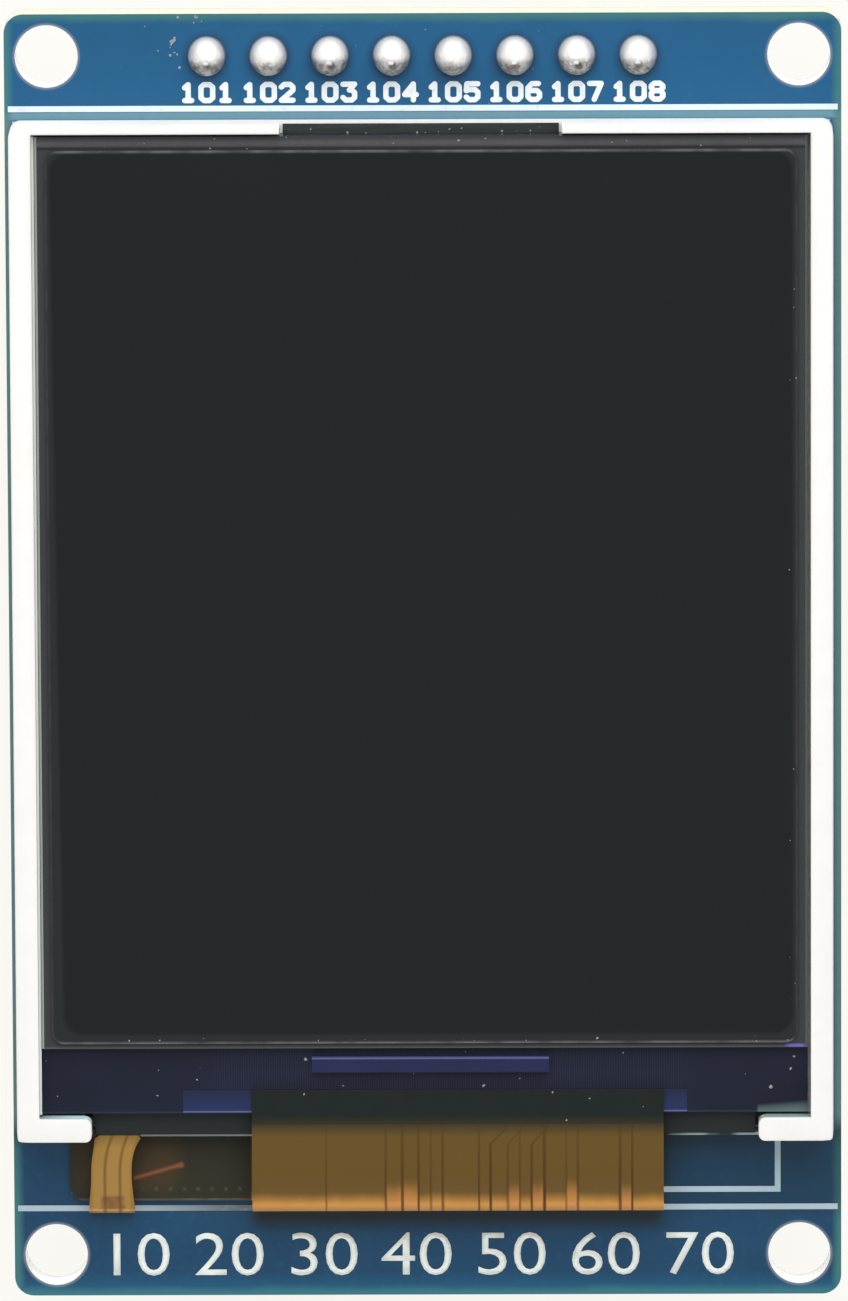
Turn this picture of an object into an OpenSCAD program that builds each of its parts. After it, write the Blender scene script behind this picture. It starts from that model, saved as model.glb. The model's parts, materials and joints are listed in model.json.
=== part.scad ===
// Colour TFT display module: a circuit board with a pin header on its back,
// and a moulded backlight frame with the LCD glass and two folded flexible circuits on its front.
// X runs across the screen, Y towards the pin header and Z out of the screen, in millimetres.
// The origin is the centre of the four mounting holes, on the back face of the board.

/* [Circuit board] */
// Width of the board
board_w = 34.5; // [34:0.1:42]
// Length of the board
board_l = 54; // [53.5:0.1:64]
// Thickness of the board
board_t = 1.6; // [0.8:0.1:2.4]
// Radius of the corners of the board
board_corner_r = 0.8; // [0.2:0.1:1.6]
// Distance from the centre of a mounting hole to the edges of the board
hole_inset = 1.75; // [1.6:0.05:2.2]
// Diameter of a mounting hole
hole_d = 2.6; // [2:0.1:3]

/* [Printed lines] */
// Width of a printed line
ink_w = 0.24; // [0.15:0.01:0.4]
// Thickness of the ink
ink_t = 0.03; // [0.02:0.01:0.05]
// Bare margin between the ends of the long lines and the edge of the board
ink_margin = 0.15; // [0.05:0.05:0.5]
// Distance from the top of the frame to the middle of the upper line
upper_line_gap = 0.41; // [0.25:0.01:0.6]
// Distance from the lower edge of the board to the middle of the lower line
lower_line_edge = 3.73; // [3.4:0.01:4]
// Distance from the foam tape to the sides of the printed box round the flex
ink_box_gap = 0.46; // [0.2:0.01:2]
// Distance from the solder strips of the flex to the top of the printed box
ink_box_clear = 0.96; // [0.4:0.01:4]
// Distance from the lower line up to the printed box
ink_box_rise = 0.63; // [0.35:0.01:1]

/* [Pin header] */
// Number of pins
pin_count = 8; // [4:1:10]
// Distance between pins
pin_pitch = 2.54; // [2.5:0.01:2.6]
// Side of the square pins
pin_w = 0.64; // [0.5:0.01:0.66]
// Length of a pin below the header strip
pin_below = 6; // [3:0.5:12]
// Length of a pin above the board
pin_above = 0.95; // [0.5:0.05:1]
// Length of the chamfer on the tips of a pin
pin_tip = 0.2; // [0.1:0.05:0.3]
// Depth and height of the header strip
strip_d = 2.54; // [2:0.02:3]
// Chamfer between the cells of the header strip
strip_chamfer = 0.4; // [0.2:0.05:0.6]
// Diameter of the plated holes for the pins
pin_hole_d = 1.02; // [1:0.01:1.2]
// Radius of a solder dome on the board
dome_r = 0.85; // [0.7:0.01:1]
// Height of a solder dome
dome_h = 1.12; // [1.1:0.01:1.3]

/* [Backlight frame] */
// Height of the frame
frame_h = 2.15; // [2.1:0.05:2.6]
// Distance from the sides of the board to a centred frame
frame_side_gap = 0.3; // [0.15:0.05:1]
// Distance from the upper edge of the board to the frame
frame_setback = 4.35; // [4:0.05:4.6]
// Distance from the lower edge of the board to the frame
frame_end_gap = 7.05; // [6.9:0.05:8]
// Offset of the frame from the middle of the board
frame_shift = -0.07; // [-0.1:0.01:0.1]
// Radius of the outer corners of the frame
frame_corner_r = 0.45; // [0.2:0.05:0.8]
// Thickness of the side walls
side_wall = 0.93; // [0.8:0.01:1]
// Thickness of the upper wall
top_wall = 0.31; // [0.25:0.01:0.4]
// Depth of the low rail and the feet at the flex end
rail_w = 0.98; // [0.9:0.01:1.2]
// Length of a foot at each lower corner
foot_l = 3.1; // [2:0.1:3.2]
// Radius of the free end of a foot
foot_r = 0.28; // [0.1:0.01:0.4]
// Width of the shelf along the sides
shelf_w = 0.62; // [0.5:0.01:0.8]
// Width of the shelf along the top
shelf_top_w = 0.5; // [0.4:0.01:0.7]
// Width of the notch in the upper wall
notch_w = 11.6; // [6:0.1:20]
// Width of the rebate that takes the reflector film
rebate_w = 0.5; // [0.3:0.05:0.6]
// Thickness of the foam tape under the frame
foam_t = 0.4; // [0.35:0.05:0.8]
// Width of the foam tape strips
foam_w = 1.6; // [1:0.1:1.8]
// Distance from the sides of the frame to the foam tape
foam_inset = 0.1; // [0.05:0.05:0.2]

/* [Backlight] */
// Thickness of the reflector film
reflector_t = 0.08; // [0.06:0.01:0.1]
// Thickness of the light guide
guide_t = 0.6; // [0.55:0.05:0.7]
// Thickness of the diffuser film
diffuser_t = 0.05; // [0.04:0.01:0.06]
// Thickness of each prism film
prism_t = 0.06; // [0.05:0.01:0.08]
// Thickness of the black rim tape
rim_tape_t = 0.05; // [0.04:0.01:0.08]
// Lap of the rim tape over the films at the sides and the top
rim_lap = 0.6; // [0.3:0.05:1]
// Lap of the rim tape over the films at the flex end
rim_lap_end = 1.9; // [1:0.05:2.4]
// Bare edge that the rim tape leaves on the rail
tape_setback = 0.1; // [0.05:0.01:0.3]
// Bare edge that the rim tape leaves in the notch
notch_setback = 0.04; // [0.02:0.01:0.1]
// Clearance round the films and the light guide
film_gap = 0.1; // [0.05:0.01:0.15]
// Number of lamps
lamp_count = 2; // [1:1:4]
// Distance between lamps
lamp_pitch = 6.6; // [5:0.1:6.8]
// Width of a lamp
lamp_w = 3.8; // [2:0.1:4]
// Depth of a lamp
lamp_d = 0.9; // [0.7:0.05:1]
// Height of a lamp
lamp_h = 0.6; // [0.4:0.05:0.65]
// Depth of the cup in the face of a lamp
lamp_cup_d = 0.25; // [0.1:0.05:0.4]
// Wall round the cup of a lamp
lamp_wall = 0.12; // [0.08:0.01:0.15]

/* [LCD glass] */
// Thickness of each sheet of glass
glass_t = 0.4; // [0.3:0.05:0.45]
// Clearance between the glass and the frame
glass_gap = 0.12; // [0.05:0.01:0.2]
// Depth of the ledge that carries the driver chip and the flex
ledge_d = 2.82; // [2.6:0.01:3.2]
// Chamfer on the long edges of the upper glass
glass_chamfer = 0.1; // [0.05:0.01:0.15]
// Thickness of the rear polarizer
rear_polarizer_t = 0.12; // [0.1:0.01:0.14]
// Thickness of the front polarizer
front_polarizer_t = 0.15; // [0.12:0.01:0.17]
// Margin of the polarizers at the sides
polarizer_side = 0.42; // [0.2:0.01:0.8]
// Margin of the polarizers at the top
polarizer_top = 0.57; // [0.3:0.01:0.9]
// Margin of the polarizers at the flex end
polarizer_end = 0.23; // [0.1:0.01:0.5]
// Radius of the corners of the front polarizer
polarizer_corner_r = 0.5; // [0.2:0.05:0.9]
// Length of the driver chip
chip_l = 9.84; // [8:0.02:12]
// Depth of the driver chip
chip_d = 0.62; // [0.5:0.01:0.7]
// Thickness of the driver chip
chip_t = 0.3; // [0.2:0.01:0.34]
// Distance from the upper glass to the driver chip
chip_setback = 0.42; // [0.3:0.01:0.5]
// Offset of the driver chip from the middle of the board
chip_shift = 0.16; // [-0.5:0.01:0.5]
// Thickness of the bonding film
bond_t = 0.02; // [0.01:0.01:0.03]
// Margin of the bonding film round the driver chip
bond_margin = 0.1; // [0.05:0.01:0.15]
// Length of the bonding film under the flex
bond_l = 20.94; // [19:0.02:22]
// Offset of the bonding film under the flex from the middle of the board
bond_shift = 0.34; // [-0.5:0.01:1]

/* [Main flex] */
// Width of the flex
flex_w = 17.12; // [15:0.02:18]
// Offset of the flex from the middle of the board
flex_shift = 1.28; // [0:0.01:2]
// Thickness of the flex
flex_t = 0.12; // [0.1:0.01:0.14]
// Length of the flex on the ledge of the glass
flex_bond_l = 0.97; // [0.7:0.01:1.1]
// Reach of the loop past the end of the glass
flex_reach = 4.28; // [4:0.01:4.4]
// Angle by which the flex droops before it turns under
flex_droop = 16; // [8:1:24]
// Radius of the droop
flex_droop_r = 5; // [2:0.5:6]
// Straight length between the droop and the turn
flex_slope_l = 0.4; // [0.2:0.05:0.8]
// Width of the gaps between the copper areas
track_gap_w = 0.13; // [0.08:0.01:0.16]
// Depth of the gaps between the copper areas
track_gap_d = 0.02; // [0.01:0.01:0.03]
// Distance from the foam tape to the side of the flat panel
panel_gap = 0.48; // [0.2:0.01:2]
// Distance from the outermost line of the loop back to the panel
panel_setback = 0.23; // [0.1:0.01:0.4]
// Length of the panel under the display
panel_l = 10.9; // [8:0.1:14]
// Radius of the free corner of the panel
panel_corner_r = 0.3; // [0.2:0.1:1]
// Width of the relief slit between the panel and the loop
slit_w = 0.15; // [0.1:0.01:0.2]
// Length of the dark coat on the bonded end of the flex
coat_l = 1.4; // [1:0.05:1.6]
// Thickness of the dark coat
coat_t = 0.03; // [0.02:0.01:0.04]
// Number of solder strips under the end of the panel
solder_count = 14; // [8:1:20]
// Distance between solder strips
solder_pitch = 1.2; // [1:0.05:1.2]
// Width of a solder strip
solder_w = 0.6; // [0.4:0.05:0.8]
// Length of a solder strip under the panel
solder_lap = 1.2; // [0.6:0.1:2]
// Length of a solder strip past the end of the panel
solder_toe = 0.4; // [0.2:0.1:0.8]

/* [Backlight flex] */
// Thickness of the lamp flex
tail_t = 0.1; // [0.08:0.01:0.12]
// Distance that the lamp flex laps onto the rail
tail_lap = 0.58; // [0.4:0.01:0.7]
// Distance that the lamp flex laps over the light guide
guide_lap = 0.57; // [0.4:0.01:0.8]
// Margin between the lamp flex and the feet of the frame
lamp_flex_margin = 0.15; // [0.1:0.01:0.3]
// Distance from the left side of the frame to the middle of the tail at the rail
tail_root_x = 4.18; // [4.1:0.01:4.6]
// Width of the tail where it leaves the rail
tail_root_w = 1.68; // [1.4:0.02:2]
// Sideways lean of the tail towards the side of the frame
tail_lean = 0.32; // [0:0.01:0.5]
// Width of the tail at the turn
tail_end_w = 1.9; // [1.6:0.02:2.2]
// Reach of the tail past the frame
tail_reach = 3.44; // [3.3:0.01:3.6]
// Angle by which the tail droops before it turns under
tail_droop = 14; // [8:1:18]
// Radius of the droop of the tail
tail_droop_r = 2; // [1:0.1:3]
// Straight length between the droop and the turn of the tail
tail_slope_l = 2; // [1.2:0.1:2.2]
// Length of the tail that is folded back under the panel
tail_under_l = 2.2; // [1:0.1:3]
// Clearance of the slot in which the tail leaves the frame
slot_gap = 0.08; // [0.05:0.01:0.15]

/* [Parts on the back] */
// Distance from the pin row to the row of parts
part_row_gap = 6; // [4:0.5:12]
// Length of the body of a three-legged part
sot_l = 2.9; // [2.6:0.1:3.2]
// Depth of the body of a three-legged part
sot_d = 1.3; // [1.2:0.05:1.6]
// Height of the body of a three-legged part
sot_h = 1; // [0.8:0.05:1.2]
// Gap under the body of a three-legged part
sot_standoff = 0.1; // [0.05:0.01:0.15]
// Reach of a leg from the body
leg_reach = 0.55; // [0.5:0.01:0.7]
// Length of the foot of a leg
leg_foot = 0.25; // [0.15:0.01:0.25]
// Thickness of a leg
leg_t = 0.12; // [0.1:0.01:0.15]
// Width of a leg
leg_w = 0.4; // [0.3:0.05:0.5]
// Distance between the legs on one side
leg_pitch = 1.9; // [1.8:0.05:2]
// Length of a chip resistor or capacitor
chip_part_l = 1.6; // [1.4:0.1:2]
// Width of a chip resistor or capacitor
chip_part_w = 0.8; // [0.6:0.1:1.2]
// Height of a chip resistor
resistor_h = 0.45; // [0.3:0.05:0.6]
// Height of a chip capacitor
capacitor_h = 0.8; // [0.5:0.05:1]
// Length of the metal cap on each end of a chip part
cap_l = 0.3; // [0.2:0.05:0.4]
// Thickness of the metal cap on a chip part
cap_t = 0.03; // [0.02:0.01:0.05]

/* [Hidden] */

$fn = 64;

// Overrun of a cutting shape past the face that it cuts
cut = 1;
// Largest angle of one flat in a turn of a folded strip
turn_step = 7;

// Positions on the board
hole_x = board_w/2 - hole_inset;
hole_y = board_l/2 - hole_inset;
board_bottom = -board_l/2;

// Edges of the frame and of its window
frame_w = board_w - 2*frame_side_gap;
frame_top = board_l/2 - frame_setback;
frame_bottom = board_bottom + frame_end_gap;
frame_l = frame_top - frame_bottom;
frame_y = (frame_top + frame_bottom)/2;
frame_left = frame_shift - frame_w/2;
inner_w = frame_w - 2*side_wall;
inner_top = frame_top - top_wall;
inner_bottom = frame_bottom + rail_w;
window_w = inner_w - 2*shelf_w;
window_top = inner_top - shelf_top_w;
feet_gap = frame_w - 2*foot_l;
foam_edge = frame_left + foam_inset + foam_w;

// Heights of the layers, from the board up
tail_z = board_t + ink_t;
panel_z = tail_z + tail_t;
frame_z = board_t + foam_t;
guide_z = frame_z + reflector_t;
diffuser_z = guide_z + guide_t;
prism_lower_z = diffuser_z + diffuser_t;
prism_upper_z = prism_lower_z + prism_t;
shelf_z = prism_upper_z + prism_t;
rear_polarizer_z = shelf_z + rim_tape_t;
array_z = rear_polarizer_z + rear_polarizer_t;
ledge_z = array_z + glass_t;
front_polarizer_z = ledge_z + glass_t;
lamp_flex_z = shelf_z - tail_t;

// Edges of the backlight parts
guide_w = window_w - 2*film_gap;
guide_top = window_top - film_gap;
lamp_y = inner_bottom + film_gap;
guide_bottom = lamp_y + lamp_d + film_gap;
lamp_flex_top = guide_bottom + guide_lap;
film_bottom = lamp_flex_top + film_gap;

// Edges of the glass and the polarizers
glass_w = inner_w - 2*glass_gap;
glass_top = inner_top - glass_gap;
glass_bottom = inner_bottom + glass_gap;
ledge_top = glass_bottom + ledge_d;
polarizer_w = glass_w - 2*polarizer_side;
polarizer_upper = glass_top - polarizer_top;
polarizer_lower = ledge_top + polarizer_end;

// Folded path of the main flex, from the middle of its thickness
flex_left = flex_shift - flex_w/2;
flex_z = ledge_z + bond_t + flex_t/2;
flex_drop = flex_z - (panel_z + flex_t/2);
flex_turn_r = turn_radius(flex_drop, flex_droop, flex_droop_r, flex_slope_l);
flex_flat_l = flex_bond_l + flex_reach
    - fold_reach(flex_droop, flex_droop_r, flex_slope_l, flex_turn_r, flex_t);
flex_start_y = glass_bottom + flex_bond_l;
loop_y = glass_bottom - flex_reach;
turn_y = loop_y + flex_t/2 + flex_turn_r;
flex_path = fold_path(flex_flat_l, flex_droop, flex_droop_r, flex_slope_l, flex_turn_r,
                      2*slit_w);

// Middles of the gaps between the copper areas, from the middle of the flex
track_gaps = [-5.48, -3, -2.31, -1.64, -1.12, -0.63, 0.88, 1.36, 2.08, 2.58, 3.07, 3.6,
              4.51, 4.99, 6.75, 7.25];

// Folded path of the tail of the lamp flex
tail_drop = lamp_flex_z - tail_z;
tail_turn_r = turn_radius(tail_drop, tail_droop, tail_droop_r, tail_slope_l);
tail_flat_l = rail_w + tail_reach
    - fold_reach(tail_droop, tail_droop_r, tail_slope_l, tail_turn_r, tail_t);
tail_path = fold_path(tail_flat_l, tail_droop, tail_droop_r, tail_slope_l, tail_turn_r,
                      tail_under_l);
tail_turn_y = frame_bottom - tail_reach + tail_t/2 + tail_turn_r;
tail_x = frame_left + tail_root_x;

// Edges of the flat panel, which stays behind the turn of the tail
panel_front = max(loop_y + panel_setback, tail_turn_y);
panel_back = panel_front + panel_l;
panel_left = foam_edge + panel_gap;

// Edges of the printed lines
lower_line_y = board_bottom + lower_line_edge;
ink_box_left = foam_edge + ink_box_gap;
ink_box_w = 2*(frame_shift - ink_box_left);
ink_box_bottom = lower_line_y + ink_box_rise;
ink_box_top = panel_back + solder_toe + ink_box_clear;

// A solder dome is the cap of a ball with this radius
dome_ball_r = (dome_r*dome_r + dome_h*dome_h)/(2*dome_h);

// Places of the parts on the back, as distances from the middle of the board
part_row_y = hole_y - part_row_gap;
regulator_x = -7;
transistor_x = 6;
resistor_xs = [2.6, 9.4, 11.4];
capacitor_xs = [-10.6, -3.4, -1.4];

// Radius of the turn that brings a drooping strip down by the given drop and back under itself
function turn_radius(drop, droop, droop_r, slope_l) =
    (drop - droop_r*(1 - cos(droop)) - slope_l*sin(droop))/(1 + cos(droop));

// Reach of a droop, a slope and a turn, out to the outer face of the strip
function fold_reach(droop, droop_r, slope_l, turn_r, t) =
    droop_r*sin(droop) + slope_l*cos(droop) + turn_r*(1 - sin(droop)) + t/2;

// A folded path is a list of steps: a run is [length], a turn is [radius, angle]
function fold_path(flat_l, droop, droop_r, slope_l, turn_r, under_l) =
    [[flat_l], [droop_r, droop], [slope_l], [turn_r, 180 - droop], [under_l]];

// Rectangle with round corners, centred
module round_rect(w, l, r) {
    square([w - 2*r, l], center = true);
    square([w, l - 2*r], center = true);
    for (sx = [-1, 1], sy = [-1, 1])
        translate([sx*(w/2 - r), sy*(l/2 - r)])
            circle(r);
}

// Rectangle between two edges in Y, centred on x
module band(x, w, y0, y1) {
    translate([x - w/2, y0])
        square([w, y1 - y0]);
}

// Plate of a flat outline, from height z
module plate(z, t) {
    translate([0, 0, z])
        linear_extrude(t)
            children();
}

// Outward normal of a strip that has turned down by angle a
function strip_normal(a) = [sin(a), cos(a)];

// Points beside a folded path, at the given offset towards the outside.
// The path starts at p and has turned down by angle a so far.
function strip_edge(path, offset, i = 0, p = [0, 0], a = 0) =
    i == len(path) ? [p + offset*strip_normal(a)] :
    len(path[i]) == 1 ?
        concat([p + offset*strip_normal(a)],
               strip_edge(path, offset, i + 1, p + path[i][0]*[cos(a), -sin(a)], a)) :
    turn_edge(path, offset, i, p - path[i][0]*strip_normal(a), a, a + path[i][1]);

// The same points round a turn with its centre at c, from angle a to angle b, and on from there
function turn_edge(path, offset, i, c, a, b) =
    let (r = path[i][0], n = ceil(abs(b - a)/turn_step))
    concat([for (k = [0:n - 1]) c + (r + offset)*strip_normal(a + (b - a)*k/n)],
           strip_edge(path, offset, i + 1, c + r*strip_normal(b), b));

function reversed(points) = [for (i = [len(points) - 1:-1:0]) points[i]];

// Folded strip from x0, of width w, that starts at height z and y and runs towards -Y.
// It lies between the offsets lo and hi from its path.
module folded_strip(path, lo, hi, x0, w, y, z) {
    translate([x0 + w, y, z])
        rotate([90, 0, -90])
            linear_extrude(w)
                polygon(concat(strip_edge(path, hi), reversed(strip_edge(path, lo))));
}

module circuit_board() {
    color([0.16, 0.36, 0.55])
    difference() {
        plate(0, board_t) round_rect(board_w, board_l, board_corner_r);
        for (sx = [-1, 1], sy = [-1, 1])
            translate([sx*hole_x, sy*hole_y, -cut])
                cylinder(h = board_t + 2*cut, d = hole_d);
        at_pins() translate([0, 0, -cut])
            cylinder(h = board_t + 2*cut, d = pin_hole_d);
    }
}

module silkscreen_lines() {
    line_w = board_w - 2*ink_margin;
    color([0.92, 0.95, 0.96])
    plate(board_t, ink_t) {
        for (y = [frame_top + upper_line_gap, lower_line_y])
            band(0, line_w, y - ink_w/2, y + ink_w/2);
        difference() {
            band(frame_shift, ink_box_w, ink_box_bottom, ink_box_top);
            band(frame_shift, ink_box_w - 2*ink_w, ink_box_bottom + ink_w, ink_box_top - ink_w);
        }
    }
}

// Children at the middle of each pin
module at_pins() {
    for (i = [0:pin_count - 1])
        translate([(i - (pin_count - 1)/2)*pin_pitch, hole_y, 0])
            children();
}

module header_strip() {
    c = strip_chamfer;
    a = pin_pitch/2;
    b = strip_d/2;
    color([0.08, 0.08, 0.09])
    at_pins() translate([0, 0, -strip_d]) linear_extrude(strip_d) difference() {
        polygon([[-a, c - b], [c - a, -b], [a - c, -b], [a, c - b],
                 [a, b - c], [a - c, b], [c - a, b], [-a, b - c]]);
        square(pin_w, center = true);
    }
}

// Outline of a pin seen from one side, with chamfered tips
module pin_side() {
    z0 = -strip_d - pin_below;
    z1 = board_t + pin_above;
    a = pin_w/2;
    c = pin_tip/2;
    polygon([[c - a, z0], [a - c, z0], [a, z0 + pin_tip], [a, z1 - pin_tip],
             [a - c, z1], [c - a, z1], [-a, z1 - pin_tip], [-a, z0 + pin_tip]]);
}

module pin() {
    intersection() {
        rotate([90, 0, 0]) linear_extrude(pin_w, center = true) pin_side();
        rotate([90, 0, 90]) linear_extrude(pin_w, center = true) pin_side();
    }
}

module header_pins() {
    color([0.85, 0.72, 0.38])
    at_pins() pin();
}

// A dome on the board with the solder that fills the plated hole below it
module solder_joints() {
    color([0.75, 0.76, 0.78])
    at_pins() difference() {
        rotate_extrude() {
            translate([0, board_t]) intersection() {
                translate([0, dome_h - dome_ball_r]) circle(dome_ball_r);
                square([dome_ball_r, dome_h]);
            }
            square([pin_hole_d/2, board_t]);
        }
        pin();
    }
}

// Two strips under the side walls and one between them under the upper wall
module foam_tape() {
    half = frame_w/2 - foam_inset;
    top = frame_top - foam_inset;
    color([0.9, 0.9, 0.88])
    plate(board_t, foam_t) {
        for (side = [-1, 1])
            band(frame_shift + side*(half - foam_w/2), foam_w, frame_bottom + foam_inset, top);
        band(frame_shift, 2*(half - foam_w - foam_inset), top - foam_w, top);
    }
}

// The opening above the shelf: the glass, the notch in the upper wall, and the gap between the feet
module screen_opening() {
    band(frame_shift, inner_w, inner_bottom, inner_top);
    band(frame_shift, notch_w, inner_top - cut, frame_top + cut);
    difference() {
        band(frame_shift, feet_gap + 2*foot_r, frame_bottom - cut, inner_bottom);
        for (side = [-1, 1])
            translate([frame_shift + side*(feet_gap + foot_l)/2, frame_bottom + rail_w/2])
                round_rect(foot_l, rail_w, foot_r);
    }
}

module backlight_frame() {
    rebate_side = window_w + 2*rebate_w;
    tail_slot_w = tail_root_w + 2*slot_gap;
    color([0.97, 0.97, 0.95])
    difference() {
        plate(frame_z, frame_h)
            translate([frame_shift, frame_y]) round_rect(frame_w, frame_l, frame_corner_r);
        plate(shelf_z, frame_h) screen_opening();
        plate(frame_z - cut, frame_h) band(frame_shift, window_w, inner_bottom, window_top);
        plate(frame_z - cut, cut + reflector_t)
            band(frame_shift, rebate_side, inner_bottom - rebate_w, window_top + rebate_w/2);
        plate(lamp_flex_z, frame_h)
            band(frame_shift, feet_gap, inner_bottom - tail_lap - slot_gap, inner_bottom + cut);
        plate(lamp_flex_z, frame_h)
            band(tail_x, tail_slot_w, frame_bottom - cut, inner_bottom);
    }
}

module reflector_film() {
    w = window_w + 2*(rebate_w - film_gap);
    color([0.88, 0.9, 0.92])
    plate(frame_z, reflector_t)
        band(frame_shift, w, inner_bottom - rebate_w + film_gap, window_top + rebate_w/2 - film_gap);
}

module light_guide() {
    color([0.8, 0.9, 0.95])
    plate(guide_z, guide_t)
        band(frame_shift, guide_w, guide_bottom, guide_top);
}

// A film of the backlight, trimmed to the light guide and clear of the lamp flex
module backlight_film(z, t) {
    plate(z, t)
        band(frame_shift, guide_w, film_bottom, guide_top);
}

module diffuser_film() {
    color([0.95, 0.95, 0.95])
    backlight_film(diffuser_z, diffuser_t);
}

module prism_film_lower() {
    color([0.85, 0.88, 0.9])
    backlight_film(prism_lower_z, prism_t);
}

module prism_film_upper() {
    color([0.85, 0.88, 0.9])
    backlight_film(prism_upper_z, prism_t);
}

// Black tape on the shelf, the rail and the rim of the films, with a tab in the notch
module rim_tape() {
    color([0.05, 0.05, 0.06])
    plate(shelf_z, rim_tape_t) difference() {
        union() {
            band(frame_shift, glass_w, inner_bottom + glass_gap, glass_top);
            band(frame_shift, feet_gap - 2*glass_gap, frame_bottom + tape_setback, inner_bottom + cut);
            band(frame_shift, notch_w - 2*glass_gap, glass_top - cut, frame_top - notch_setback);
        }
        band(frame_shift, guide_w - 2*rim_lap, film_bottom + rim_lap_end, guide_top - rim_lap);
    }
}

// Side-view lamps with a cup towards the light guide, hanging under their flex
module backlight_leds() {
    color([0.95, 0.93, 0.8])
    for (i = [0:lamp_count - 1])
        translate([frame_shift + (i - (lamp_count - 1)/2)*lamp_pitch, lamp_y, lamp_flex_z - lamp_h])
            difference() {
                translate([-lamp_w/2, 0, 0]) cube([lamp_w, lamp_d, lamp_h]);
                translate([lamp_wall - lamp_w/2, lamp_d - lamp_cup_d, lamp_wall])
                    cube([lamp_w - 2*lamp_wall, lamp_d, lamp_h - 2*lamp_wall]);
            }
}

// Outline of the tail from above: it narrows and leans as it leaves the rail
module tail_outline() {
    end_x = tail_x - tail_lean;
    waist_y = frame_bottom - tail_reach/2;
    tip_y = frame_bottom - tail_reach - cut;
    polygon([[tail_x - tail_root_w/2, inner_bottom], [tail_x + tail_root_w/2, inner_bottom],
             [tail_x + tail_root_w/2, frame_bottom],
             [end_x + tail_root_w/2, waist_y], [end_x + tail_end_w/2, tip_y],
             [end_x - tail_end_w/2, tip_y], [end_x - tail_end_w/2, waist_y],
             [tail_x - tail_root_w/2, frame_bottom]]);
}

module backlight_flex() {
    strip_w = feet_gap - 2*lamp_flex_margin;
    blank_w = 2*tail_end_w;
    color([0.75, 0.55, 0.28]) {
        plate(lamp_flex_z, tail_t)
            band(frame_shift, strip_w, inner_bottom - tail_lap, lamp_flex_top);
        intersection() {
            folded_strip(tail_path, -tail_t/2, tail_t/2, tail_x - tail_lean - blank_w/2, blank_w,
                         inner_bottom, lamp_flex_z + tail_t/2);
            plate(0, lamp_flex_z + cut) tail_outline();
        }
    }
}

module rear_polarizer() {
    color([0.25, 0.27, 0.28])
    plate(rear_polarizer_z, rear_polarizer_t)
        band(frame_shift, polarizer_w, polarizer_lower, polarizer_upper);
}

module array_glass() {
    color([0.17, 0.2, 0.25])
    plate(array_z, glass_t)
        band(frame_shift, glass_w, glass_bottom, glass_top);
}

// Upper glass, with its long edges ground to a chamfer
module colour_filter_glass() {
    a = glass_w/2;
    c = glass_chamfer;
    color([0.3, 0.3, 0.31])
    translate([frame_shift, glass_top, ledge_z])
        rotate([90, 0, 0])
            linear_extrude(glass_top - ledge_top)
                polygon([[-a, 0], [a, 0], [a, glass_t - c], [a - c, glass_t],
                         [c - a, glass_t], [-a, glass_t - c]]);
}

module front_polarizer() {
    l = polarizer_upper - polarizer_lower;
    color([0.12, 0.13, 0.14])
    plate(front_polarizer_z, front_polarizer_t)
        translate([frame_shift, polarizer_lower + l/2])
            round_rect(polarizer_w, l, polarizer_corner_r);
}

module driver_chip() {
    color([0.3, 0.32, 0.5])
    plate(ledge_z + bond_t, chip_t)
        translate([chip_shift, ledge_top - chip_setback - chip_d/2])
            square([chip_l, chip_d], center = true);
}

// Bonding film under the chip and under the end of the flex
module bonding_film() {
    chip_y = ledge_top - chip_setback - chip_d/2;
    color([0.2, 0.25, 0.5])
    plate(ledge_z, bond_t) {
        translate([chip_shift, chip_y])
            square([chip_l + 2*bond_margin, chip_d + 2*bond_margin], center = true);
        band(bond_shift, bond_l, glass_bottom, flex_start_y);
    }
}

// Wide part of the flex that lies on the board, with a slit beside the loop
module flex_panel() {
    slit_end = turn_y + slit_w;
    r = panel_corner_r;
    difference() {
        polygon([[panel_left, panel_front], [flex_left - slit_w, panel_front],
                 [flex_left - slit_w, slit_end], [flex_left, slit_end],
                 [flex_left + flex_w, slit_end], [flex_left + flex_w, panel_back],
                 [panel_left, panel_back]]);
        translate([panel_left, panel_front]) difference() {
            translate([-cut, -cut]) square(r + cut);
            translate([r, r]) circle(r);
        }
    }
}

// Flex with gaps between its copper areas, which start where the dark coat ends
module main_flex() {
    groove_path = concat([[flex_flat_l - coat_l]], [for (i = [1:len(flex_path) - 1]) flex_path[i]]);
    color([0.7, 0.48, 0.24]) {
        difference() {
            folded_strip(flex_path, -flex_t/2, flex_t/2, flex_left, flex_w, flex_start_y, flex_z);
            for (x = track_gaps)
                folded_strip(groove_path, flex_t/2 - track_gap_d, flex_t,
                             flex_shift + x - track_gap_w/2, track_gap_w,
                             flex_start_y - coat_l, flex_z);
        }
        plate(panel_z, flex_t) flex_panel();
    }
}

module mask_coat() {
    color([0.13, 0.16, 0.14])
    plate(flex_z + flex_t/2, coat_t)
        band(flex_shift, flex_w, flex_start_y - coat_l, flex_start_y);
}

// Solder strips between the board and the end of the panel
module flex_solder() {
    color([0.75, 0.76, 0.78])
    for (i = [0:solder_count - 1])
        translate([flex_shift + (i - (solder_count - 1)/2)*solder_pitch - solder_w/2,
                   panel_back - solder_lap, board_t])
            cube([solder_w, solder_lap + solder_toe, panel_z - board_t]);
}

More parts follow.
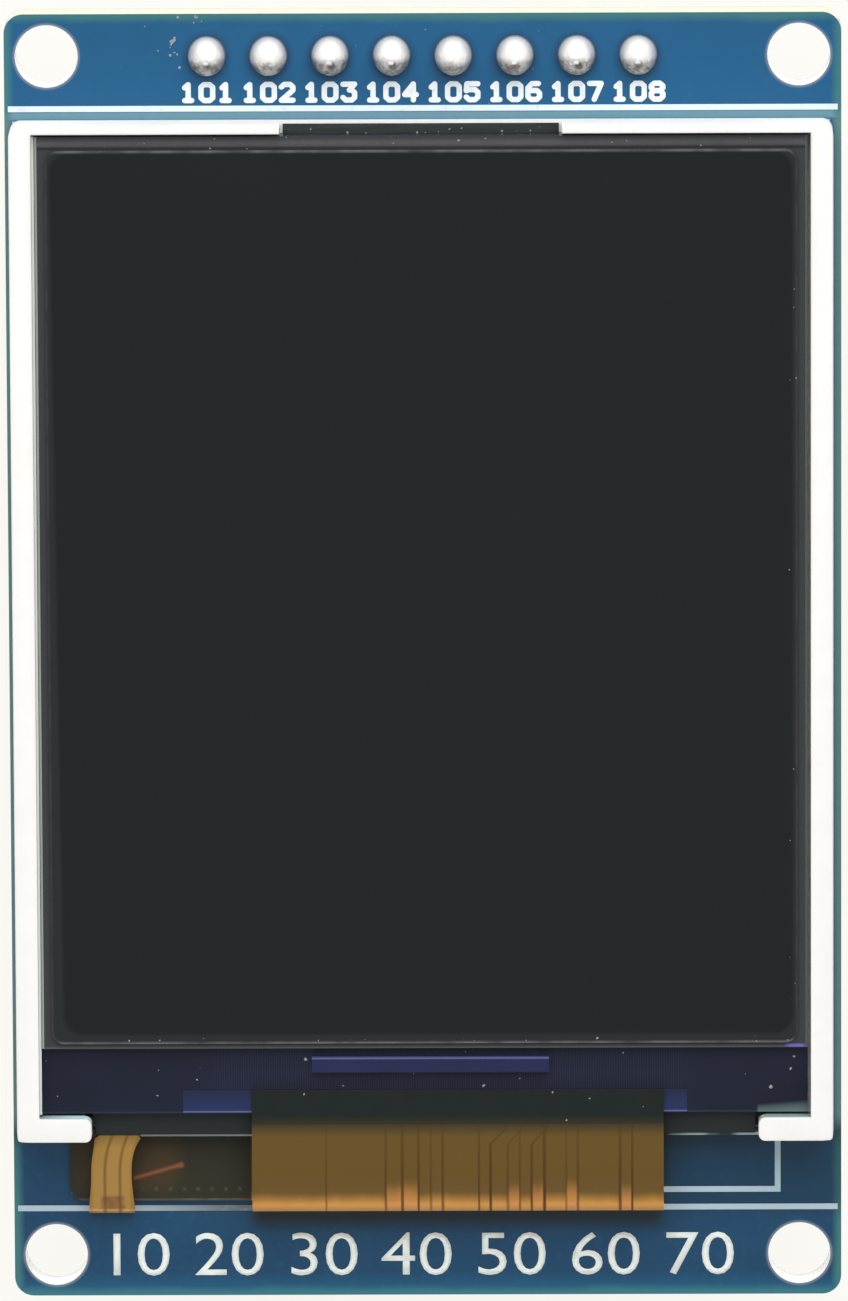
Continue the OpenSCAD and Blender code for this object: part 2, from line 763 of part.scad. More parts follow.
// A leg towards -Y that leaves the body level, steps down and lies flat on the board
module leg(x) {
    mid = sot_standoff + sot_h/2;
    r = leg_t;
    out = leg_reach - leg_foot - 2*r + leg_t;
    folded_strip([[out], [r, 90], [mid - leg_t/2 - 2*r], [-r, -90], [leg_foot]],
                 -leg_t/2, leg_t/2, x - leg_w/2, leg_w, leg_t - sot_d/2, mid);
}

// Three-legged part, standing on z = 0
module three_legged_part() {
    a = sot_d/2;
    draft = sot_h/10;
    top = sot_standoff + sot_h;
    mid = sot_standoff + sot_h/2;
    translate([-sot_l/2, 0, 0]) rotate([90, 0, 90]) linear_extrude(sot_l)
        polygon([[draft - a, sot_standoff], [a - draft, sot_standoff], [a, mid],
                 [a - draft, top], [draft - a, top], [-a, mid]]);
    for (side = [-1, 1]) leg(side*leg_pitch/2);
    mirror([0, 1, 0]) leg(0);
}

module voltage_regulator() {
    color([0.1, 0.1, 0.1])
    translate([regulator_x, part_row_y, 0]) mirror([0, 0, 1]) three_legged_part();
}

module backlight_transistor() {
    color([0.1, 0.1, 0.1])
    translate([transistor_x, part_row_y, 0]) mirror([0, 0, 1]) three_legged_part();
}

// Chip part on the back of the board: a body with a metal cap on each end
module chip_part(x, h) {
    translate([x, part_row_y, 0]) mirror([0, 0, 1]) {
        translate([-chip_part_w/2, -chip_part_l/2, cap_t])
            cube([chip_part_w, chip_part_l, h - 2*cap_t]);
        for (side = [-1, 1])
            translate([0, side*(chip_part_l - cap_l)/2, h/2])
                cube([chip_part_w + 2*cap_t, cap_l, h], center = true);
    }
}

module chip_resistors() {
    color([0.15, 0.15, 0.16])
    for (x = resistor_xs) chip_part(x, resistor_h);
}

module chip_capacitors() {
    color([0.7, 0.6, 0.45])
    for (x = capacitor_xs) chip_part(x, capacitor_h);
}

circuit_board();
silkscreen_lines();
header_strip();
header_pins();
solder_joints();
foam_tape();
backlight_frame();
reflector_film();
light_guide();
diffuser_film();
prism_film_lower();
prism_film_upper();
rim_tape();
backlight_leds();
backlight_flex();
rear_polarizer();
array_glass();
colour_filter_glass();
front_polarizer();
driver_chip();
bonding_film();
main_flex();
mask_coat();
flex_solder();
voltage_regulator();
backlight_transistor();
chip_resistors();
chip_capacitors();
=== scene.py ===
"""Dresses a colour TFT display module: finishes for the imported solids, and the pieces that carry
its fine detail, such as the folded films, the solder, the printed numerals and the dust."""

import json
import math
import random

import bmesh
import bpy
from mathutils import Matrix, Vector, noise


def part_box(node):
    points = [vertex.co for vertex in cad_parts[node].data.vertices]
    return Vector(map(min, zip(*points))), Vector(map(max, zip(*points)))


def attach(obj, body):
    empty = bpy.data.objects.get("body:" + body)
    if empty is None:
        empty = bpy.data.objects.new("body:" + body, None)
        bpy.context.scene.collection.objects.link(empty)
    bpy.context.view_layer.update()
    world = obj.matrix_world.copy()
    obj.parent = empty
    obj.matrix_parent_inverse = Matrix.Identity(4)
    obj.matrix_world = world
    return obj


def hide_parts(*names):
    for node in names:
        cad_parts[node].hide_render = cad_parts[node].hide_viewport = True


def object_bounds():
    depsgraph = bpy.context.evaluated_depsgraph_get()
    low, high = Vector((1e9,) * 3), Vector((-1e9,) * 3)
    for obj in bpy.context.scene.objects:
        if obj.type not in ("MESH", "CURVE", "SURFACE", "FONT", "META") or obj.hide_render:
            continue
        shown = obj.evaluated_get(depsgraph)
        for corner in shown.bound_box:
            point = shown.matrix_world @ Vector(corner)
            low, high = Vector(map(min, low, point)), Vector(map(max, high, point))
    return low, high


bl_info = {
    "name": "Display module dressing",
    "version": (1, 0, 0),
    "blender": (4, 5, 0),
    "location": "3D View > Sidebar > Module",
    "description": "Finishes and fine pieces for a small colour display module",
    "category": "Object",
}

MM = 0.001
# Parts of a print that cross lie in thin layers, so that no two faces share a plane
LAYER = 0.0002 * MM
LAYERS = 41
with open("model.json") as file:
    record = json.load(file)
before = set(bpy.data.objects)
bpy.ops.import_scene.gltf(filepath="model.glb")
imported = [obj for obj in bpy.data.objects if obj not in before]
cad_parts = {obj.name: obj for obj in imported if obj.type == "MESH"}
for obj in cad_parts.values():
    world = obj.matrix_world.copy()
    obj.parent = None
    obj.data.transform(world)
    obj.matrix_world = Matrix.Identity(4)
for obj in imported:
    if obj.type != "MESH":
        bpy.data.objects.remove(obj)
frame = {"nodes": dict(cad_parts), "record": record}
CAD_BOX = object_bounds()
NODES = frame["nodes"]
HOLES = next(m for m in frame["record"]["mounts"] if m["name"] == "mounting_holes")["dims"]


def rgb(red, green, blue):
    """Colour as written on a screen, 0 to 255, as linear values."""
    return tuple(c / 255 / 12.92 if c <= 10 else ((c / 255 + 0.055) / 1.055) ** 2.4
                 for c in (red, green, blue))


def colour(name, description, red, green, blue):
    return bpy.props.FloatVectorProperty(
        name=name, description=description, default=rgb(red, green, blue), size=3,
        min=0, max=1, subtype="COLOR")


def length(name, description, mm):
    return bpy.props.FloatProperty(
        name=name, description=description, default=mm * MM, min=0, unit="LENGTH",
        subtype="DISTANCE", precision=5)


def share(name, description, part):
    return bpy.props.FloatProperty(
        name=name, description=description, default=part, min=0, max=1, subtype="FACTOR")


def count(name, description, number):
    return bpy.props.IntProperty(name=name, description=description, default=number, min=2)


def angle(name, description, degrees):
    return bpy.props.FloatProperty(
        name=name, description=description, default=math.radians(degrees), min=0,
        unit="ROTATION", subtype="ANGLE")


class ModuleSizes(bpy.types.PropertyGroup):
    flex_droop: angle("Flex droop", "Angle by which the flex droops before it turns under", 16)
    flex_droop_radius: length("Flex droop radius", "Radius of the droop of the flex", 5)
    flex_slope: length("Flex slope", "Straight length between the droop and the turn", 0.4)
    flex_thickness: length("Flex thickness", "Thickness of the main flex", 0.12)
    flex_bulge: length("Flex bulge", "How far the soft fold bulges past the solid's line", 0.08)
    flex_under: length("Flex fold", "Length of the flex folded back inside the panel", 1.2)
    flex_slit: length("Slit", "Width of the slit between the loop and the panel", 0.03)
    panel_setback: length("Panel setback", "Distance from the loop's outermost line to the panel", 0.23)
    panel_spread: length("Panel spread", "How far the panel reaches past the solid's left side", 0.07)
    panel_corner: length("Panel corner", "Radius of the free corner of the panel", 0.6)
    tail_droop: angle("Tail droop", "Angle by which the lamp tail droops before it turns under", 14)
    tail_droop_radius: length("Tail droop radius", "Radius of the droop of the lamp tail", 2)
    tail_slope: length("Tail slope", "Straight length between the droop and the turn", 2)
    tail_thickness: length("Tail thickness", "Thickness of the lamp tail", 0.1)
    tail_root: length("Tail root", "Width of the tail where it leaves the rail", 1.68)
    tail_end: length("Tail end", "Width of the tail at its turn", 1.9)
    tail_flare: length("Tail flare", "Extra width of the tail just outside the frame", 0.3)
    tail_lean: length("Tail lean", "Sideways lean of the tail", 0.32)
    tail_inset: length("Tail inset", "Distance from the frame's side to the tail's middle", 4.18)
    tail_under: length("Tail fold", "Length of the tail folded back under the panel", 2.2)
    tail_lap: length("Tail lap", "How far the lamp strip laps onto the rail", 0.58)
    rail_depth: length("Rail depth", "Depth of the frame's lower rail", 0.98)
    rib_wall: length("Rib wall", "Distance from the frame's side to the rib's hidden face", 0.9)
    rib_gap: length("Rib gap", "Gap between the rib and the lower glass", 0.02)
    rib_rise: length("Rib rise", "Height of the rib above the lower glass", 0.25)
    dome_radius: length("Dome radius", "Radius of a solder dome on the board", 0.85)
    dome_foot: length("Dome foot", "Height below which a dome runs out onto its pad", 0.26)
    dome_width: share("Dome width", "Width of a dome as a share of its radius", 0.85)
    dome_depth: share("Dome depth", "Depth of a dome along Y as a share of its radius", 0.92)
    pin_tip: length("Pin tip", "Half the width of the pin's end in the solder", 0.28)
    pin_sunk: length("Pin sunk", "Depth of the pin's end below the top of the solder", 0.09)
    pins: count("Pins", "Number of pins of the header", 8)
    pin_numeral: length("Pin numerals", "Height of the numerals beside the pins", 0.88)
    pin_numeral_width: length("Pin numeral width", "Width of one digit beside the pins", 0.7)
    numeral_gap: length("Numeral gap", "Distance from the solder to the pin numerals", 0.2)
    numeral_space: length("Numeral space", "Space between the digits of a pin numeral", 0.07)
    pen: length("Pen", "Width of the strokes of the pin numerals", 0.22)
    row_numeral: length("Row numerals", "Height of the numerals along the lower edge", 1.82)
    row_width: length("Row width", "Length of the row of numerals along the lower edge", 25.9)
    row_shift: length("Row shift", "Distance of the row's middle to the left of the board's", 0.18)
    row_drop: length("Row drop", "Distance from the lower line to the middle of the row", 1.86)
    foot_round: length("Foot rounding", "Reach of the rounding at the feet's outer corners", 0.4)
    edge_round: length("Edge rounding", "Rounding of the frame's moulded edges", 0.07)
    notch_width: length("Notch width", "Width of the notch in the frame's top wall", 11)
    track_width: length("Track width", "Width of the tracks on the back", 0.3)
    track_height: length("Track height", "Height of the tracks on the back", 0.03)
    via_radius: length("Via radius", "Radius of the vias on the back", 0.36)
    back_line: length("Back line", "Width of the printed line on the back", 0.16)


class ModuleColours(bpy.types.PropertyGroup):
    mask: colour("Solder mask", "Blue mask over copper", 29, 93, 137)
    mask_copper: colour("Mask over copper", "Lighter blue of the mask over copper", 46, 118, 172)
    # Painted shade: the mask's colour at the board's darker lower end
    mask_low_shade: colour("Solder mask, low end", "Blue mask towards the flex end", 22, 65, 97)
    mask_rim: colour("Mask rim", "Teal rim of the mask along the board's edges", 66, 124, 124)
    laminate: colour("Laminate", "Cream laminate at the cut edges", 254, 249, 232)
    ink: colour("Ink", "Printed white ink", 230, 244, 250)
    plastic: colour("Frame plastic", "Moulded white plastic", 252, 251, 248)
    screen: colour("Screen", "Front polarizer over the dark picture area", 26, 30, 32)
    screen_rim: colour("Screen rim", "Polarizer outside the picture area", 42, 45, 47)
    border: colour("Glass border", "Upper glass outside the polarizer", 62, 63, 65)
    ledge: colour("Ledge", "Lower glass where it carries the chip", 24, 29, 43)
    silicon: colour("Chip", "Blue-violet silicon", 26, 34, 72)
    bond: colour("Bonding film", "Bluish bonding film", 36, 46, 92)
    tape: colour("Tape", "Black tape", 28, 34, 34)
    amber: colour("Amber film", "Amber film over copper", 102, 82, 36)
    # A painted highlight: the flex's colour where it turns down
    amber_bright: colour("Bright amber", "Amber film where it turns to the light", 197, 140, 64)
    amber_gap: colour("Amber gap", "Film between the copper areas", 78, 48, 14)
    coat: colour("Dark coat", "Dark green coat of the flex", 17, 27, 25)
    olive: colour("Olive film", "Dark film of the wide panel", 46, 46, 34)
    copper: colour("Copper", "Bare copper trace under film", 112, 64, 38)
    tail: colour("Tail film", "Amber film of the lamp tail", 166, 130, 67)
    tail_line: colour("Tail line", "Darker lines between the tail's tracks", 120, 84, 34)
    solder: colour("Solder", "Bright tin solder", 244, 242, 240)
    pin: colour("Pins", "Gold-flashed brass", 214, 178, 96)
    black: colour("Black plastic", "Moulded black plastic", 26, 26, 28)


# Materials


class Value:
    """A socket of a material's nodes. Sums on it are written as Python expressions."""

    def __init__(self, finish, socket):
        self.finish = finish
        self.socket = socket

    def math(self, operation, *terms):
        return self.finish.node("ShaderNodeMath", {"operation": operation}, dict(enumerate(terms)))

    def __add__(self, other):
        return self.math("ADD", self, other)

    def __sub__(self, other):
        return self.math("SUBTRACT", self, other)

    def __mul__(self, other):
        return self.math("MULTIPLY", self, other)

    def __truediv__(self, other):
        return self.math("DIVIDE", self, other)

    def __pow__(self, other):
        return self.math("POWER", self, other)

    def __rsub__(self, other):
        return self.math("SUBTRACT", other, self)

    def __abs__(self):
        return self.math("ABSOLUTE", self)

    __radd__ = __add__
    __rmul__ = __mul__

    def least(self, other):
        return self.math("MINIMUM", self, other)

    def most(self, other):
        return self.math("MAXIMUM", self, other)

    def fraction(self):
        return self.math("FRACT", self)


class Nodes:
    """The nodes of a material or of the world."""

    def __init__(self, tree):
        self.tree = tree

    def node(self, kind, settings=None, inputs=None, output=0):
        """Adds a node: its settings first, then the values or links of its sockets."""
        node = self.tree.nodes.new(kind)
        for name, value in (settings or {}).items():
            if name == "stops":
                ramp = node.color_ramp
                while len(ramp.elements) < len(value):
                    ramp.elements.new(1)
                for element, (position, shade) in zip(ramp.elements, value):
                    element.position = position
                    element.color = (*shade, 1)
            else:
                setattr(node, name, value)
        for name, value in (inputs or {}).items():
            self.link(node.inputs[name], value)
        return Value(self, node.outputs[output])

    def link(self, socket, value):
        if isinstance(value, Value):
            self.tree.links.new(value.socket, socket)
        elif socket.type == "RGBA" and len(value) == 3:
            socket.default_value = (*value, 1)
        else:
            socket.default_value = value

    def rise(self, value, low, high):
        """0 below low, 1 above high, and straight between them."""
        return self.node("ShaderNodeMapRange", {"clamp": True},
                         {"Value": value, "From Min": low, "From Max": high})

    def blend(self, factor, first, second):
        """Colour between two colours."""
        return self.node("ShaderNodeMix", {"data_type": "RGBA"}, {0: factor, 6: first, 7: second}, 2)

    def seen(self):
        """1 for what the camera, a mirror or a clear body shows, and 0 for what only lights."""
        camera, mirror, clear = [self.node("ShaderNodeLightPath", output=kind) for kind in
                                 ("Is Camera Ray", "Is Glossy Ray", "Is Transmission Ray")]
        return camera.most(mirror).most(clear)


class Finish(Nodes):
    """A material in the making."""

    def __init__(self, name, **constants):
        self.material = bpy.data.materials.new(name)
        self.material.use_nodes = True
        super().__init__(self.material.node_tree)
        self.shader = self.tree.nodes["Principled BSDF"]
        self.put("Specular IOR Level", 0.2)
        for socket, value in constants.items():
            self.put(socket.replace("_", " "), value)

    def put(self, socket, value):
        """Sets or links a socket of the surface shader, whose names have spaces."""
        self.link(self.shader.inputs[socket], value)

    def place(self):
        """Where a point of the surface is, in millimetres: its vector, x, y and z."""
        metres = self.node("ShaderNodeTexCoord", output="Object")
        spot = self.node("ShaderNodeVectorMath", {"operation": "SCALE"},
                         {"Vector": metres, "Scale": 1000})
        return [spot] + [self.node("ShaderNodeSeparateXYZ", None, {"Vector": spot}, axis)
                         for axis in "XYZ"]

    def facing(self, axis):
        """How far the surface faces along an axis, from -1 to 1."""
        normal = self.node("ShaderNodeNewGeometry", output="Normal")
        return self.node("ShaderNodeSeparateXYZ", None, {"Vector": normal}, axis)

    def within(self, value, low, high, soft=0.01):
        """1 between low and high, with edges as soft as given."""
        return (self.rise(value, low - soft, low + soft)
                * (1 - self.rise(value, high - soft, high + soft)))

    def near(self, value, middle, half, soft=0.01):
        return 1 - self.rise(abs(value - middle), half - soft, half + soft)

    def field(self, x, y, low, high, corner):
        """Distance outwards from the edge of an upright rectangle with round corners."""
        past_x = (abs(x - (low[0] + high[0]) / 2) - (high[0] - low[0]) / 2 + corner).most(0)
        past_y = (abs(y - (low[1] + high[1]) / 2) - (high[1] - low[1]) / 2 + corner).most(0)
        return (past_x * past_x + past_y * past_y) ** 0.5 - corner

    def grain(self, spot, scale, detail=2, roughness=0.5, distortion=0):
        return self.node("ShaderNodeTexNoise", None,
                         {"Vector": spot, "Scale": scale, "Detail": detail,
                          "Roughness": roughness, "Distortion": distortion}, "Fac")

    def stretched(self, spot, *shares):
        """A place with its X, Y and Z scaled. A pattern is drawn out where its share is small."""
        return self.node("ShaderNodeMapping", None, {"Vector": spot, "Scale": shares})

    def bump(self, height, depth_mm):
        """Relief of the given depth, on the surface's own normal."""
        self.put("Normal", self.node("ShaderNodeBump", None,
                                     {"Strength": 1, "Distance": depth_mm * MM,
                                      "Height": height}, "Normal"))

    def cover(self, shade, roughness, relief, depth_mm):
        """Sets the colour and the roughness of the surface, and its fine relief."""
        self.put("Base Color", shade)
        self.put("Roughness", roughness)
        self.bump(relief, depth_mm)


def grained(name, first, second, scale, detail, rough, spread, depth_mm, share=1, soft=0.5,
            **constants):
    """Finish of two colours that mix in a grain, which also varies its roughness and relief."""
    finish = Finish(name, **constants)
    grain = finish.grain(finish.place()[0], scale, detail, soft)
    finish.cover(finish.blend(grain * share, first, second), grain * spread + rough, grain, depth_mm)
    return finish


def wear(node, finish):
    """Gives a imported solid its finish."""
    for slot in NODES[node].material_slots:
        slot.material = finish.material


# Shapes


def new_piece(name, bm, finish, slot, *nodes, smooth=True):
    """Makes a finished piece of a bmesh, which stands for the nodes given."""
    bmesh.ops.remove_doubles(bm, verts=bm.verts, dist=1e-8)
    bmesh.ops.recalc_face_normals(bm, faces=bm.faces)
    mesh = bpy.data.meshes.new(name)
    bm.to_mesh(mesh)
    bm.free()
    mesh.materials.append(finish.material)
    if smooth:
        mesh.shade_smooth()
        mesh.set_sharp_from_angle(angle=math.radians(40))
    piece = bpy.data.objects.new(name, mesh)
    bpy.context.scene.collection.objects.link(piece)
    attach(piece, "root")
    for node in nodes:
        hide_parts(node)
    return piece


def slab(bm, low, high):
    """Adds a block between two corners and returns its vertices."""
    verts = bmesh.ops.create_cube(bm, size=1)["verts"]
    size = Vector(high) - Vector(low)
    bmesh.ops.scale(bm, verts=verts, vec=size)
    bmesh.ops.translate(bm, verts=verts, vec=(Vector(low) + Vector(high)) / 2)
    return verts


def stroke(bm, points, pen, z):
    """Adds a flat line through points in X and Y, drawn with a round pen from height z."""
    for x, y in points:
        layer = len(bm.faces) % LAYERS * LAYER
        verts = bmesh.ops.create_circle(bm, cap_ends=True, segments=12, radius=pen / 2)["verts"]
        bmesh.ops.translate(bm, verts=verts, vec=(x, y, z + layer))
    for (x, y), (next_x, next_y) in zip(points, points[1:]):
        layer = len(bm.faces) % LAYERS * LAYER
        way = Vector((next_x - x, next_y - y, 0))
        verts = bmesh.ops.create_grid(bm, x_segments=1, y_segments=1, size=0.5)["verts"]
        bmesh.ops.scale(bm, verts=verts, vec=(way.length, pen, 1))
        bmesh.ops.rotate(bm, verts=verts, cent=(0, 0, 0),
                         matrix=Matrix.Rotation(math.atan2(way.y, way.x), 3, "Z"))
        bmesh.ops.translate(bm, verts=verts, vec=Vector((x, y, z + layer)) + way / 2)


def thicken(bm, way):
    """Draws every flat face of a print along Z, which gives it its thickness."""
    grown = bmesh.ops.extrude_face_region(bm, geom=list(bm.faces), use_keep_orig=True)["geom"]
    verts = [g for g in grown if isinstance(g, bmesh.types.BMVert)]
    bmesh.ops.translate(bm, verts=verts, vec=(0, 0, way))


def section(bm, left, right, y, top, thickness):
    """Adds the upright end face of a strip and returns it."""
    verts = bmesh.ops.create_grid(bm, x_segments=1, y_segments=1, size=0.5)["verts"]
    bmesh.ops.scale(bm, verts=verts, vec=(right - left, thickness, 1))
    bmesh.ops.rotate(bm, verts=verts, cent=(0, 0, 0), matrix=Matrix.Rotation(math.pi / 2, 3, "X"))
    bmesh.ops.translate(bm, verts=verts, vec=((left + right) / 2, y, top - thickness / 2))
    return verts[0].link_faces[0]


def run(bm, face, way, steps=1):
    """Draws an end face along a vector and returns the new end."""
    for _ in range(steps):
        grown = bmesh.ops.extrude_face_region(bm, geom=[face])["geom"]
        face = next(g for g in grown if isinstance(g, bmesh.types.BMFace))
        bmesh.ops.translate(bm, verts=face.verts, vec=Vector(way) / steps)
    return face


def turn(bm, face, centre, sweep, steps):
    """Turns an end face down round a centre, about the X axis, and returns the new end."""
    spun = bmesh.ops.spin(bm, geom=[face], cent=centre, axis=(1, 0, 0), angle=sweep, steps=steps,
                          use_duplicate=False)["geom_last"]
    return next(g for g in spun if isinstance(g, bmesh.types.BMFace))


def turn_radius(drop, droop, droop_radius, slope):
    """Radius of the turn that brings a drooping strip down by a drop and back under itself."""
    return ((drop - droop_radius * (1 - math.cos(droop)) - slope * math.sin(droop))
            / (1 + math.cos(droop)))


def folded(bm, left, right, start, top, low, outermost, thickness, droop, droop_radius, slope,
           under):
    """Adds a strip that runs towards -Y, droops, and turns back under itself.
    It starts at height top, its folded run lies on height low."""
    radius = turn_radius(top - low - thickness, droop, droop_radius, slope)
    reach = (droop_radius * math.sin(droop) + slope * math.cos(droop)
             + radius * (1 - math.sin(droop)) + thickness / 2)
    middle = top - thickness / 2
    y = outermost + reach
    face = section(bm, left, right, start, top, thickness)
    face = run(bm, face, (0, y - start, 0), 16)
    face = turn(bm, face, (0, y, middle - droop_radius), droop, 8)
    slope_way = Vector((0, -math.cos(droop), -math.sin(droop))) * slope
    face = run(bm, face, slope_way, 6)
    spot = (Vector((0, y, middle - droop_radius))
            + (droop_radius - radius) * Vector((0, -math.sin(droop), math.cos(droop))) + slope_way)
    face = turn(bm, face, spot, math.pi - droop, 40)
    run(bm, face, (0, under, 0), 2)


def pin_places(pins):
    """The X of each pin of the header."""
    low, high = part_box("header_pins")
    half = (high.y - low.y) / 2
    first, last = low.x + half, high.x - half
    return [first + i * (last - first) / (pins - 1) for i in range(pins)]


def from_pins(finish, x, y, pins):
    """Which pin a point lies nearest to, and how far it is from that pin in X and in Y."""
    places = pin_places(pins)
    low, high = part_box("solder_joints")
    pitch = (places[1] - places[0]) / MM
    along = (x - places[0] / MM) / pitch + 0.5
    return (along.math("FLOOR", along), (along.fraction() - 0.5) * pitch,
            y - (low.y + high.y) / 2 / MM)


class MODULE_OT_board(bpy.types.Operator):
    """Finishes the board: blue mask over copper areas, teal rims and cream cut edges"""
    bl_idname = "module.board"
    bl_label = "Board"

    def execute(self, context):
        tint = context.scene.module_colours
        low, high = (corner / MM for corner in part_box("circuit_board"))
        frame_low, frame_top = (corner.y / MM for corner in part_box("backlight_frame"))
        finish = Finish("solder_mask", Coat_Roughness=0.15, Emission_Strength=1)
        spot, x, y, z = finish.place()
        cloud = finish.grain(spot, 0.35, 3)
        fleck = finish.grain(spot, 3, 4, 0.6)
        # Painted shade: the mask darkens towards its lower end
        mask = finish.blend(finish.rise(y, -19, 20), tint.mask_low_shade, tint.mask)
        mask = finish.blend((cloud - 0.4) * 0.7, mask, rgb(30, 86, 116))
        mask = finish.blend(finish.rise(fleck, 0.55, 0.8) * 0.2, mask, rgb(50, 112, 150))
        # Painted reflection: the board is lighter where it mirrors the white wall of the frame beside it
        upper = finish.rise(finish.facing("Z"), 0, 1)
        glow = finish.within(y, frame_top - 0.05, frame_top + 0.28, 0.05)
        mask = finish.blend(glow * upper * 0.5, mask, rgb(148, 192, 198))
        edge = (high.x - abs(x)).least(high.y - abs(y)) + (cloud - 0.5) * 0.35
        mask = finish.blend((1 - finish.rise(edge, 0.12, 0.42)) * 0.85, mask, tint.mask_rim)
        # Painted reflection: the mask is paler beside the frame's sides, where it mirrors their white walls
        beside = (finish.within(y, frame_low, frame_top, 0.2)
                  * finish.rise(abs(x), high.x - 0.5, high.x - 0.2))
        mask = finish.blend(beside * upper * (0.35 + cloud * 0.3), mask, rgb(118, 146, 142))
        flex_low, flex_high = (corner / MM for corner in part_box("main_flex"))
        coat_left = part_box("mask_coat")[0].x / MM
        # Painted shadow of the folded flex on the board
        flex_shadow = (finish.within(x, coat_left, flex_high.x, 0.3)
                 * finish.within(y, flex_low.y - 0.9, flex_low.y + 3, 0.35))
        mask = finish.blend(flex_shadow * upper * 0.9, mask, rgb(20, 32, 27))
        # Painted shade in front of the frame, under its rail and round the solder
        front = finish.within(y, flex_low.y - 0.3, frame_low, 0.5) * finish.rise(x, coat_left, 0)
        mask = finish.blend(front * upper * 0.5, mask, rgb(10, 44, 60))
        frame_shadow = finish.within(y, frame_low - 0.5, frame_low + 0.3, 0.4)
        mask = finish.blend(frame_shadow * upper * 0.6, mask, rgb(14, 34, 36))
        off_x, off_y = from_pins(finish, x, y, context.scene.module_sizes.pins)[1:]
        solder_shade = ((1 - finish.rise((off_x * off_x + off_y * off_y) ** 0.5, 0.76, 1.1))
                * finish.within(x, -10.4, 10.4))
        mask = finish.blend(solder_shade * upper * 0.6, mask, rgb(30, 54, 84))
        mask = finish.blend((1 - finish.rise(y, low.y + 0.4, low.y + 1)) * 0.3, mask, rgb(34, 112, 148))
        cut = ((1 - finish.rise(abs(finish.facing("Z")), 0.4, 0.6))
               * finish.within(z, low.z + 0.04, high.z - 0.03))
        fibre = finish.grain(finish.stretched(spot, 1, 1, 14), 2.5, 4, 0.7)
        laminate = finish.blend(fibre * 0.35, tint.laminate, rgb(226, 214, 172))
        laminate = finish.blend(finish.rise(fibre, 0.52, 0.6) * 0.3, laminate, rgb(196, 182, 138))
        bored = finish.rise((high.x - abs(x)).least(high.y - abs(y)), 0.1, 0.2)
        laminate = finish.blend(bored, laminate, rgb(252, 252, 250))
        # Painted light: the walls of the holes glow faintly, so that they look as bright as lit laminate
        finish.put("Emission Color", finish.blend(bored * cut, (0, 0, 0), (0.11, 0.11, 0.1)))
        away_x = abs(x) - HOLES["spacing_x_mm"] / 2
        away_y = abs(y) - HOLES["spacing_y_mm"] / 2
        ring = (away_x * away_x + away_y * away_y) ** 0.5 - HOLES["hole_r_mm"]
        mask = finish.blend((1 - finish.rise(ring, 0.03, 0.13)) * 0.6, mask, rgb(150, 156, 168))
        finish.put("Base Color", finish.blend(cut, mask, laminate))
        finish.put("Roughness", cut * 0.45 + 0.3 + fleck * 0.08)
        finish.put("Coat Weight", (1 - cut) * 0.12)
        finish.bump(fleck * 0.25 + fibre * cut, 0.02)
        wear("circuit_board", finish)

        ink = Finish("ink")
        spot, x, y, z = ink.place()
        patch = ink.grain(spot, 2.2, 5, 0.65)
        # Painted shade: the ink is darker towards the lower edge and beside the flex
        shade = ink.blend(ink.rise(y, -19, 20), rgb(180, 201, 211), tint.ink)
        painted_shade = ink.rise(x, -13.5, -8.5) * (1 - ink.rise(x, -7, 0)) * (1 - ink.rise(y, -19, -15))
        shade = ink.blend(painted_shade * 0.85, shade, rgb(96, 101, 100))
        ink.cover(ink.blend(ink.rise(patch, 0.55, 0.75) * 0.4, shade, rgb(160, 190, 206)),
                  patch * 0.2 + 0.45, patch, 0.01)
        wear("silkscreen_lines", ink)
        return {"FINISHED"}


